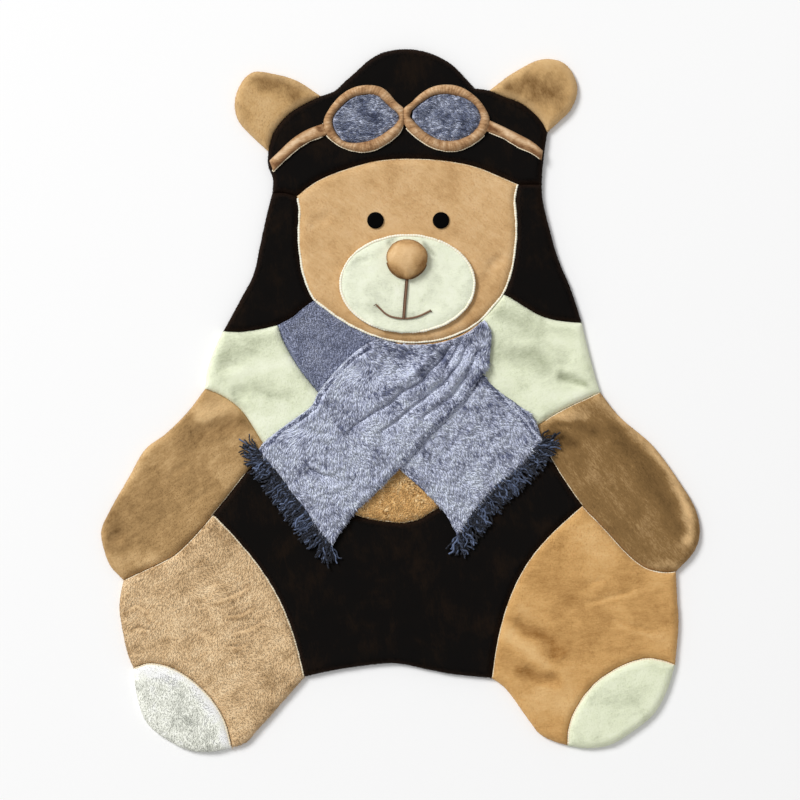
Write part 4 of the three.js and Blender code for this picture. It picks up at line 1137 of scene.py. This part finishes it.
muzzle, _ = lay_piece("muzzle", "muzzle_plush", muzzle_plush, muzzle_shape, muzzle_folds,
                      muzzle_painted_light, crumple=0.4, seed=111)
grow_pile("muzzle_pile", muzzle, short_pile | {"strokes": [(9, 165, -90)], "seed": 112},
          muzzle_plush, hidden_under=("nose", "mouth_line", "smile"))
stitched_edge("muzzle_edge", "muzzle", None, None, 0.8, 2.0, bright_edge, "cream_plush", panel_top + 2.6 * mm)


# Nose
# A round of tan plush gathered over a ball of filling and sewn down along its edge, with a painted highlight
# on its upper part, painted shade round its lower side and in the crease across its top, and a painted darker
# edge. A dark strand round its lower half stands for the seam there and the shade under the nose.

nose_shape = {"edge": 3 * mm, "full": 18.5 * mm, "roll": 25 * mm,
              "rings": (0.8 * mm, 1.8 * mm, 3.2 * mm, 5 * mm, 7.4 * mm)}
nose_folds = [
    {"along": [(-16, 206), (-9, 220), (9, 224), (24, 219), (34, 205)], "width": 4, "depth": 1.8},
    {"along": [(-4, 182), (6, 180), (18, 184)], "width": 5, "depth": 1.2},
]
nose_painted_light = [
    {"along": [(-6, 206), (8, 210)], "width": 13, "light": 0.6},
    {"along": [(-14, 186), (0, 176), (14, 175), (28, 184), (35, 198)], "width": 7, "light": -0.8},
    {"along": [(-15, 212), (-4, 221), (20, 221), (32, 210)], "width": 3, "light": -0.6},
]
nose_plush = plush("nose_plush", (212, 172, 120), (240, 206, 158), (154, 112, 68), (150, 108, 68),
                   patch_size=0.02, patches=1.0, rim=0.9)


def gathered(loop):
    """The nose's outline as it is gathered: broad and flat above, narrower below, and a little uneven."""
    middle = loop.mean(0)
    away = loop - middle
    reach = np.linalg.norm(away, axis=1).mean()
    high = away[:, 1] / reach
    puckered = 1 + 0.012 * uneven(loop, 7 * mm, 12.5) + 0.012 * uneven(loop, 16 * mm, 15.5)
    across = away[:, 0] * (1.035 + 0.05 * high) * puckered
    up = away[:, 1] * (1.0 - 0.045 * np.clip(high, 0, 1) ** 2) * puckered
    up -= 2.2 * mm * np.exp(-((away[:, 0] / (6 * mm)) ** 2)) * (high < 0)
    return middle + np.column_stack([across, up])


nose, _ = lay_piece("nose", "nose_plush", nose_plush, nose_shape, nose_folds, nose_painted_light,
                    crumple=0.4, seed=121, spacing=2 * mm, painted_edge_width=2.5, shaped=gathered)
nose_seam_and_shade = plush("nose_seam_and_shade", (128, 96, 60), (160, 124, 82), (84, 62, 38), patch_size=0.01, patches=0.7,
                  streaks=0.4, locks=0.6)
stitched_edge("nose_seam_and_shade_edge", "nose", (-18, 196), (37, 194), -1.3, 1.15, nose_seam_and_shade, "nose_plush",
              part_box("nose")[0].z + 1.1 * mm)
grow_pile("nose_pile", nose,
          short_pile | {"per_mm2": 0.5, "length": 1.8, "width": 0.5, "strokes": [(9, 201, -90)], "seed": 122},
          nose_plush)


# Eyes and mouth
# Thick satin embroidery. The eyes are round, of black thread, and the mouth is a stem of two
# brown rows and a thin smile with a short stitch across each end.


def satin(name, thread, glint, angle):
    """Smooth thread laid side by side: fine ridges across, painted in the glint colour where they catch the
    light, with a soft shine.
    """
    material = bpy.data.materials.new(name)
    material.use_nodes = True
    tree = material.node_tree
    surface = tree.nodes["Principled BSDF"]
    place = wire(tree, "ShaderNodeTexCoord").outputs["Object"]
    long = stretched(tree, turned_by(tree, place, angle), (1.0, 0.12, 1.0))
    rows = cloudy(tree, long, 900.0, Detail=1.0)
    colour = blended(tree, rows, linear(*thread), linear(*glint))
    tree.links.new(colour, surface.inputs["Base Color"])
    raised_by(tree, surface, rows, 0.5, 0.6 * mm)
    surface.inputs["Roughness"].default_value = 0.75
    surface.inputs["Specular IOR Level"].default_value = 0.05
    return material


eye_thread = satin("eye_thread", (1, 1, 2), (6, 7, 10), 0.5)
mouth_thread = satin("mouth_thread", (104, 78, 62), (150, 120, 98), 0.2)
dark_thread = satin("dark_thread", (78, 58, 46), (114, 88, 70), 0.2)
eye_shape = {"edge": 0.8 * mm, "full": 2.4 * mm, "roll": 6 * mm, "rings": (1.0 * mm, 2.4 * mm)}
for side, seed in (("left", 131), ("right", 132)):
    lay_piece("eye_" + side, "eye_" + side + "_satin", eye_thread, eye_shape, crumple=0.1,
              seed=seed, spacing=1.6 * mm)
line_shape = {"edge": 1.0 * mm, "full": 1.8 * mm, "roll": 1.4 * mm, "rings": ()}
stem_run = np.array([0.08, 1.0])
stem_longer = 0.17


def carried_on(loop):
    """The stem's outline, carried on up to the nose and down over the smile."""
    return loop + stem_longer * ((loop - loop.mean(0)) @ stem_run)[:, None] * stem_run


for part, seed, shaped in (("mouth_line", 133, carried_on), ("smile", 134, None)):
    lay_piece(part, part + "_satin", mouth_thread, line_shape, crumple=0.05, seed=seed,
              spacing=1.2 * mm, shaped=shaped)


def thread_line(name, line, radius, height):
    """A row of stitches along a line in mm, a little uneven."""
    path = evenly(np.array(line, float) * mm, 1.0 * mm)
    radii = radius * mm * (1 + 0.15 * np.sin(math.tau * np.arange(len(path)) / 3.3))
    radii[[0, -1]] *= 0.5
    places, faces = tubes(np.column_stack([path, np.full(len(path), height)])[None], radii[None], 6)
    return solid_piece(name, places, faces, dark_thread)


mouth_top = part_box("mouth_line")[0].z + 1.4 * mm
thread_line("mouth_row_left", [(7.7, 175), (5.0, 145), (2.9, 115.6)], 0.65, mouth_top)
thread_line("mouth_row_right", [(10.9, 175), (8.1, 145), (5.8, 115.6)], 0.65, mouth_top)
thread_line("smile_end_left", [(-38, 134), (-34, 137)], 0.6, mouth_top)
thread_line("smile_end_right", [(41.5, 129), (44.5, 125.5)], 0.6, mouth_top)


# Goggles
# Two padded rims of tan plush, gathered over a cord and crossed at the bridge, with a lens of
# long blue-grey plush in each, and two straps that run to the edge of the cap.

# The goggle plush is painted darker at its edges, as painted shade. The straps carry a painted highlight
# along their upper side and painted shade along their lower one, and the lenses painted highlights and shade
# in streaks, with shaded roots.
goggle_plush = plush("goggle_plush", (184, 144, 104), (230, 198, 160), (118, 82, 54), (128, 90, 60),
                     patch_size=0.012, grain_size=0.0016, patches=1.2, streaks=0.9, locks=0.5, rim=0.6)
lens_plush = plush("lens_plush", (130, 138, 164), (218, 225, 246), (60, 66, 92), patch_size=0.014,
                   grain_size=0.0026, nap=-30, patches=1.3, streaks=0.6, locks=0.7, root_shade=0.7, sheen=0.15)


def ray_places(loop, middle, count):
    """The places where even rays from a middle point cross a loop."""
    away = loop - middle
    angles = np.unwrap(np.arctan2(away[:, 1], away[:, 0]))
    reach = np.linalg.norm(away, axis=1)
    wanted = angles[0] + np.linspace(0, math.tau, count, endpoint=False)
    distance = np.interp(wanted, np.append(angles, angles[0] + math.tau), np.append(reach, reach[0]))
    order = np.argsort(wanted % math.tau)
    wanted, distance = wanted[order], distance[order]
    return middle + distance[:, None] * np.column_stack([np.cos(wanted), np.sin(wanted)])


bridge = np.array([5.0, 404.5]) * mm
rim_drawn = {"up": 14 * mm, "across": 20 * mm, "past": 2.0 * mm}
opening_drawn = {"up": 7 * mm, "across": 26 * mm, "by": 2.6 * mm}
rim_section = np.array([
    (0.0, 0.0), (0.0, 0.25), (0.06, 0.52), (0.17, 0.76), (0.32, 0.94), (0.5, 1.0),
    (0.68, 0.94), (0.83, 0.76), (0.94, 0.52), (1.0, 0.25), (1.0, 0.0),
])


def padded_rim(node_name, floor, full, stations, gathers, seed):
    """A padded ring between two outlines, with small gathers across it, drawn to the bridge."""
    outer, inner = (flowing(loop, 2 * mm) for loop in cut_edges(node_name))
    middle = inner.mean(0)
    outer, inner = ray_places(outer, middle, stations), ray_places(inner, middle, stations)
    aside, above = (bridge - outer).T
    drawn = np.exp(-((above / rim_drawn["up"]) ** 4) - (aside / rim_drawn["across"]) ** 4)
    outer[:, 0] += (aside + rim_drawn["past"] * np.sign(aside)) * drawn
    outer += 0.04 * (inner - outer)
    aside, above = (bridge - inner).T
    drawn = np.exp(-((above / opening_drawn["up"]) ** 2) - (aside / opening_drawn["across"]) ** 4)
    inner[:, 0] += opening_drawn["by"] * np.sign(aside) * drawn
    turn = np.arange(stations) / stations
    ripple = np.array([noise.noise((math.cos(math.tau * place) * 5, math.sin(math.tau * place) * 5, seed))
                       for place in turn])
    ripple = 0.4 * np.sin(math.tau * gathers * turn + 9 * ripple) + 1.1 * ripple
    rings = []
    for share, height in rim_section:
        place = outer + share * (inner - outer)
        z = floor + full * height * (1 + 0.13 * ripple * math.sin(math.pi * share))
        rings.append(np.column_stack([place, np.broadcast_to(z, len(place))]))
    sides = len(rim_section)
    faces = [
        (station * sides + side, ((station + 1) % stations) * sides + side,
         ((station + 1) % stations) * sides + (side + 1) % sides, station * sides + (side + 1) % sides)
        for station in range(stations) for side in range(sides)
    ]
    places = np.stack(rings, 1).reshape(-1, 3)
    piece = solid_piece(node_name + "_plush", places, faces, goggle_plush)
    mark(piece, "tip", np.full(stations * sides, 0.5))
    # The gathers are painted lighter on their crests and darker between them, and the rim mark paints shade
    # on the rim's inner side, by the lens.
    mark(piece, "tone", np.repeat(0.5 + 0.5 * np.clip(ripple, -1, 1), sides))
    mark(piece, "rim", np.tile(np.clip((rim_section[:, 0] - 0.6) / 0.4, 0, 1), stations))
    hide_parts(node_name)
    return piece


lens_shape = {"edge": 1.4 * mm, "full": 4.4 * mm, "roll": 10 * mm, "rings": (1 * mm, 2.4 * mm)}
strap_shape = {"edge": 1.4 * mm, "full": 5.2 * mm, "roll": 6.5 * mm, "rings": (0.9 * mm, 2.2 * mm)}
lens_painted_light = {
    "left": [{"along": [(-84, 410), (-62, 402)], "width": 7, "light": 0.6},
             {"along": [(-50, 424), (-20, 414)], "width": 6, "light": 0.5},
             {"along": [(-62, 416), (-36, 398)], "width": 6, "light": -0.8},
             {"along": [(-60, 384), (-34, 380)], "width": 5, "light": -0.3}],
    "right": [{"along": [(40, 424), (70, 426)], "width": 6, "light": 0.5},
              {"along": [(60, 404), (92, 396)], "width": 10, "light": -0.4},
              {"along": [(30, 400), (50, 392)], "width": 7, "light": 0.2},
              {"along": [(66, 380), (88, 384)], "width": 6, "light": -0.4}],
}
rim_lower_edges = {"left": ((-98, 392), (-4, 392)), "right": ((16, 392), (106, 388))}
strap_lower_edges = {"left": ((-181, 329), (-112, 375)), "right": ((124, 376), (198, 342))}
rim_ends = {"left": np.array([-111, 383]) * mm, "right": np.array([127, 388]) * mm}


def under_rim(side):
    """Draws the end of a strap in under its rim, up to 5 mm farther."""
    inward = 1 if side == "left" else -1

    def shaped(loop):
        near = np.exp(-((np.linalg.norm(loop - rim_ends[side], axis=1) / (11 * mm)) ** 4))
        return loop + 5 * mm * near[:, None] * np.array([inward, 0.35])

    return shaped


def over_cap_edge(points):
    """How far a strap bends down at points where it runs over the edge of the cap."""
    into, _ = from_edge(points, flowing(cut_edges("crown")[0], 2.6 * mm))
    return panel["full"] - panel_height(np.maximum(into, 1.2 * mm))


strap_folds = {
    "left": [{"along": [(-176, 333), (-146, 357), (-120, 371)], "width": 3.4, "depth": 1.5},
             {"along": [(-118, 392), (-110, 378)], "width": 4, "depth": 1.6}],
    "right": [{"along": [(136, 380), (168, 365), (198, 349)], "width": 3.4, "depth": 1.5},
              {"along": [(128, 394), (130, 380)], "width": 4, "depth": 1.4}],
}
strap_painted_light = {
    "left": [{"along": [(-182, 340), (-150, 366), (-118, 386)], "width": 3.6, "light": 0.7},
             {"along": [(-178, 333), (-148, 356), (-118, 370)], "width": 3.2, "light": -0.9},
             {"along": [(-118, 390), (-110, 380)], "width": 4, "light": -0.9}],
    "right": [{"along": [(130, 392), (166, 376), (201, 354)], "width": 3.6, "light": 0.7},
              {"along": [(130, 383), (164, 367), (199, 347)], "width": 3.4, "light": -0.9},
              {"along": [(126, 394), (130, 382)], "width": 4, "light": -0.9}],
}

for side, seed, lay in (("left", 141, -8), ("right", 151, -28)):
    rim_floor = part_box("goggle_rim_" + side)[0].z
    padded_rim("goggle_rim_" + side, rim_floor, 7.4 * mm, 260, 58, seed)
    lens, _ = lay_piece("goggle_lens_" + side, "goggle_lens_" + side + "_plush", lens_plush,
                        lens_shape, painted_light=lens_painted_light[side], crumple=0.3, seed=seed + 1)
    grow_pile("goggle_lens_" + side + "_pile", lens,
              long_pile | {"per_mm2": 0.7, "length": 9, "width": 1.1, "combed": 11, "over_edge": 0.0,
                           "swirl": 0.3, "strokes": [(0, 400, lay)], "swirl_size": 16 * mm, "seed": seed + 2},
              lens_plush)
    strap, _ = lay_piece("goggle_strap_" + side, "goggle_strap_" + side + "_plush", goggle_plush,
                         strap_shape, strap_folds[side], strap_painted_light[side], crumple=0.5,
                         seed=seed + 3, spacing=1.7 * mm, shaped=under_rim(side), bent_down=over_cap_edge)
    strap_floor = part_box("goggle_strap_" + side)[0].z
    stitched_edge("goggle_strap_" + side + "_edge", "goggle_strap_" + side, *strap_lower_edges[side],
                  -0.3, 0.9, edge_cloth, "goggle_plush", strap_floor + 1.0 * mm, over_cap_edge)
    stitched_edge("goggle_rim_" + side + "_edge", "goggle_rim_" + side, *rim_lower_edges[side], -0.3, 0.8,
                  edge_cloth, "goggle_plush", rim_floor + 0.6 * mm)


# Ends of the scarf
# The scarf's two loose ends, of the same long plush. The back one comes out under the front one,
# which is gathered in pleats below the chin. Both have narrow hems and a yarn fringe.

scarf_shape = {"edge": 2.4 * mm, "full": 6.0 * mm, "roll": 7 * mm, "rings": (1 * mm, 2.4 * mm, 4.4 * mm)}
scarf_front_end = [(-202, -71), (-191, -84), (-175, -102), (-155, -131), (-136, -154), (-117, -182),
                   (-98, -207)]
scarf_back_end = [(201, -60), (188, -70), (168, -93), (132, -124), (103, -158), (81, -195)]
scarf_front_hems = [
    [(-98, -207), (-85, -185), (-69, -163), (-36, -131), (0, -94), (45, -43), (89, 1), (115, 38)],
    [(-51, 78), (-71, 63), (-91, 43), (-117, 11), (-126, -7), (-160, -33), (-194, -60), (-202, -71)],
]
scarf_back_hems = [
    [(123, 31), (150, 0), (176, -27), (201, -60)],
    [(2, -99), (40, -140), (60, -168), (81, -195)],
]
pleats = [
    [(73, 78), (52, 53), (30, 27), (-1, 9), (-22, -7), (-66, -36)],
    [(96, 78), (82, 50), (59, 23), (28, -1), (-25, -43)],
    [(110, 71), (92, 31), (70, 4), (33, -23)],
    [(88, 88), (74, 62), (62, 44)],
]
short_crease = [(-130, -98), (-103, -109)]
scarf_back_folds = [{"along": [(140, -20), (176, -52)], "width": 10, "depth": 1.6}]
scarf_front_folds = [{"along": line, "width": 5.5, "depth": 4.2} for line in pleats] + [
    {"along": [(84, 79), (66, 50), (42, 24), (4, 0)], "width": 8, "depth": -2.2},
    {"along": [(62, 84), (38, 58), (16, 38), (-10, 24)], "width": 8, "depth": -1.8},
    {"along": [(104, 76), (88, 42), (64, 12), (34, -12)], "width": 7, "depth": -1.8},
    {"along": short_crease, "width": 4, "depth": 2.4},
]
# Painted shade under the chin and along the pleats, painted highlights on the ridges between them, and broad
# painted light and shade on both ends.
scarf_front_painted_light = [
    {"along": [(0, 30), (60, 50)], "width": 16, "light": -0.25},
    {"along": [(60, 70), (110, 90)], "width": 22, "light": -0.35},
    {"along": [(-50, 66), (20, 70), (70, 84)], "width": 13, "light": -0.55},
    {"along": [(-30, 10), (-70, -20)], "width": 18, "light": -0.3},
    {"along": [(84, 66), (62, 36), (30, 8)], "width": 5, "light": 0.5},
    {"along": [(104, 62), (88, 32), (60, 2)], "width": 5, "light": 0.45},
    {"along": [(-40, -60), (10, -60)], "width": 30, "light": 0.25},
    {"along": [(-120, -60), (-90, -120)], "width": 30, "light": 0.2},
]
scarf_back_painted_light = [
    {"along": [(110, -20), (160, -60)], "width": 26, "light": -0.25},
    {"along": [(60, -120), (120, -130)], "width": 26, "light": 0.35},
]
scarf_back, back_loop = lay_piece("scarf_back", "scarf_back_cloth", scarf_plush, scarf_shape,
                                  scarf_back_folds, scarf_back_painted_light, crumple=0.5, seed=161, drape=30,
                                  hems=scarf_back_hems)
scarf_front, front_loop = lay_piece("scarf_front", "scarf_front_cloth", scarf_plush,
                                    scarf_shape, scarf_front_folds, scarf_front_painted_light, crumple=0.5,
                                    seed=163, spacing=2.2 * mm, drape=30, hems=scarf_front_hems)
scarf_back_strokes = [(150, -60, -42), (60, -140, -55), (190, -40, -35)]
scarf_front_strokes = [
    (100, 90, -100), (60, 60, -62), (20, 60, -20), (-20, 60, 5), (-70, 40, -150), (30, 0, -60),
    (-20, -20, -50), (-60, -60, -60), (-150, -60, -130), (-110, -150, -80), (-150, -110, -60),
]
back_pile = grow_pile("scarf_back_pile", scarf_back,
                      long_pile | {"strokes": scarf_back_strokes, "seed": 162, "hems": scarf_back_hems,
                                   "swirl": 0.5},
                      scarf_plush, hidden_under=("scarf_front",))
front_pile = grow_pile("scarf_front_pile", scarf_front,
                       long_pile | {"strokes": scarf_front_strokes, "seed": 164, "hems": scarf_front_hems,
                                    "swirl": 0.7, "partings": pleats + [short_crease]},
                       scarf_plush)


# Fringes
# Navy yarn, knotted close together under a twisted heading along each end of the scarf. The
# strands are cut at about 27 mm, lie on the rug over each other and are curled all along.

yarn = {"radius": 1.35 * mm, "length": 31 * mm, "strands": 235, "steps": 15, "sides": 5, "heap": 5 * mm,
        "fan": 0.75, "scatter": 0.3, "curl": (0.2, 0.75), "waves": (1.0, 2.4), "drift": 0.35}
heading_rope = {"radius": 1.25 * mm, "rows": (0.8, 4.4), "swing": 0.9, "height": 4.6, "step": 1.3,
                "turn": 8.5}


def yarn_look():
    """Matt twisted yarn in navy, its plies painted lighter where they would catch the light."""
    material = bpy.data.materials.new("fringe_yarn")
    material.use_nodes = True
    tree = material.node_tree
    surface = tree.nodes["Principled BSDF"]
    place = wire(tree, "ShaderNodeTexCoord").outputs["Object"]
    plies = cloudy(tree, place, 700.0, Detail=2.0)
    mixed = reckoned(tree, "MULTIPLY_ADD", plies, 0.6, marked(tree, "tone"))
    value = reckoned(tree, "ADD", mixed, -0.47, clamp=True)
    colour = blended(tree, value, linear(8, 12, 25), linear(132, 150, 190))
    tree.links.new(colour, surface.inputs["Base Color"])
    raised_by(tree, surface, plies, 0.5, 0.6 * mm)
    surface.inputs["Roughness"].default_value = 0.85
    surface.inputs["Sheen Weight"].default_value = 0.1
    return material


fringe_yarn = yarn_look()


def cut_strands(line, outward, chord, floor, strays, rng):
    """The yarns of a fringe: the points along each, its radius at them, and how high it lies."""
    count, steps = yarn["strands"], yarn["steps"]
    share = rng.permutation((np.arange(count) + rng.uniform(0, 1, count)) / count)
    root = line[(share * (len(line) - 1)).astype(int)] - 1 * mm * outward
    from_middle = 2 * share - 1
    angle = yarn["fan"] * from_middle**3 + rng.normal(0, yarn["scatter"], count)
    length = yarn["length"] * rng.uniform(0.8, 1.12, count)
    for place, aim, long in strays:
        root = np.vstack([root, line[int(place * (len(line) - 1))]])
        angle = np.append(angle, aim)
        length = np.append(length, long * mm)
    count = len(root)
    along = np.linspace(0, 1, steps)
    curl = rng.uniform(*yarn["curl"], count)[:, None] * np.sin(
        math.tau * along * rng.uniform(*yarn["waves"], count)[:, None]
        + rng.uniform(0, math.tau, count)[:, None]
    )
    heading = angle[:, None] + np.minimum(1, 3 * along) * curl
    heading = heading + rng.normal(0, yarn["drift"], count)[:, None] * along
    step = (length / (steps - 1))[:, None]
    forward = np.cos(heading)[:, :, None] * outward + np.sin(heading)[:, :, None] * chord
    plan = root[:, None] + np.cumsum(forward * step[:, :, None], 1) - (forward * step[:, :, None])[:, :1]
    layer = rng.uniform(0, 1, count)[:, None]
    rise = floor + yarn["radius"] + yarn["heap"] * layer * (1 - 0.6 * along)
    rise += 0.9 * mm * np.sin(math.tau * along * 2.1 + rng.uniform(0, math.tau, count)[:, None])
    rise = np.maximum(rise, floor + yarn["radius"])
    radii = yarn["radius"] * rng.uniform(0.8, 1.15, count)[:, None] * np.linspace(1, 0.85, steps)
    return np.dstack([plan, rise]), radii, layer


def twisted_heading(end_line, outward, floor):
    """The two twisted ropes of yarn under which the strands are knotted."""
    line = evenly(np.array(end_line, float) * mm, heading_rope["step"] * mm)
    turns = np.arange(len(line)) * heading_rope["step"] / heading_rope["turn"]
    swing = heading_rope["swing"]
    plies = []
    for row in heading_rope["rows"]:
        for ply in (0, 0.5):
            phase = math.tau * (turns + ply + row)
            plies.append(np.column_stack([
                line + ((row + swing * np.cos(phase)) * mm)[:, None] * outward,
                floor + (heading_rope["height"] + swing * np.sin(phase)) * mm,
            ]))
    return tubes(np.stack(plies), np.full((len(plies), len(line)), heading_rope["radius"]), 6)


def fringe(node_name, end_line, turn, strays, seed):
    """A fringe of curled yarns along the end of the scarf, in mm, under a twisted heading."""
    rng = np.random.default_rng(seed)
    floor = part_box(node_name)[0].z
    line = evenly(np.array(end_line, float) * mm, 1 * mm)
    chord = line[-1] - line[0]
    chord /= np.linalg.norm(chord)
    outward = turn * np.array([-chord[1], chord[0]])
    strands, radii, layer = cut_strands(line, outward, chord, floor, strays, rng)
    count, steps, sides = *radii.shape, yarn["sides"]
    places, faces = tubes(strands, radii, sides)
    turned = np.linspace(0, 1, steps)[None, :, None] * 8 + np.arange(sides) / sides
    twist = np.sin(math.tau * turned + rng.uniform(0, 6, (count, 1, 1)))
    # The tone is random, plus painted light: strands lying higher in the heap are lighter, and each ply is
    # lighter where its twist turns up.
    tone = (0.55 * rng.random(count) ** 2.5 + 0.2 * layer[:, 0])[:, None, None] + 0.09 * twist
    rope_places, rope_faces = twisted_heading(end_line, outward, floor)
    faces += [tuple(len(places) + index for index in face) for face in rope_faces]
    places = np.concatenate([places, rope_places])
    piece = solid_piece(node_name + "_yarn", places, faces, fringe_yarn)
    mark(piece, "tone", np.concatenate([tone.ravel(), np.full(len(rope_places), 0.12)]))
    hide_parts(node_name)
    return piece


front_strays = [(0.0, -1.3, 26), (0.01, -1.0, 28), (0.02, -1.6, 22), (0.99, 0.9, 31), (1.0, 0.6, 33),
                (0.98, 1.2, 29)]
back_strays = [(0.0, -1.5, 26), (0.01, -2.2, 24), (0.03, -1.1, 30), (0.99, 0.9, 29), (1.0, 1.1, 28)]
fringe_front = fringe("fringe_front", scarf_front_end, -1, front_strays, 171)
fringe_back = fringe("fringe_back", scarf_back_end, 1, back_strays, 172)


# Floor and light
# A plain pale floor, a bright even room and one large soft light, high up on the left, so that the
# rug's shadows are short and soft and fall to the lower right.

bpy.ops.object.select_all(action="DESELECT")
bpy.ops.mesh.primitive_plane_add(size=12, location=(0, 0, -0.0002))
floor = bpy.context.object
floor.name = "floor"
floor.data.transform(floor.matrix_world)
floor.matrix_world.identity()
floor_paint = bpy.data.materials.new("floor_paint")
floor_paint.use_nodes = True
floor_paint.node_tree.nodes["Principled BSDF"].inputs["Base Color"].default_value = (0.99, 0.99, 0.99, 1)
floor_paint.node_tree.nodes["Principled BSDF"].inputs["Roughness"].default_value = 0.9
floor.data.materials.append(floor_paint)

room = bpy.data.worlds.new("room")
room.use_nodes = True
room.node_tree.nodes["Background"].inputs["Color"].default_value = (1, 1, 1, 1)
room.node_tree.nodes["Background"].inputs["Strength"].default_value = 0.46
bpy.context.scene.world = room

lamp_data = bpy.data.lights.new("soft_lamp", "AREA")
lamp_data.shape = "SQUARE"
lamp_data.size = 6.4
lamp_data.energy = 3180
lamp = bpy.data.objects.new("soft_lamp", lamp_data)
lamp.location = (-11.4, 10.2, 12.8)
lamp.rotation_mode = "QUATERNION"
lamp.rotation_quaternion = (Vector((0, 0, 0)) - lamp.location).to_track_quat("-Z", "Y")
bpy.context.scene.collection.objects.link(lamp)
bpy.context.scene.view_settings.view_transform = "Standard"
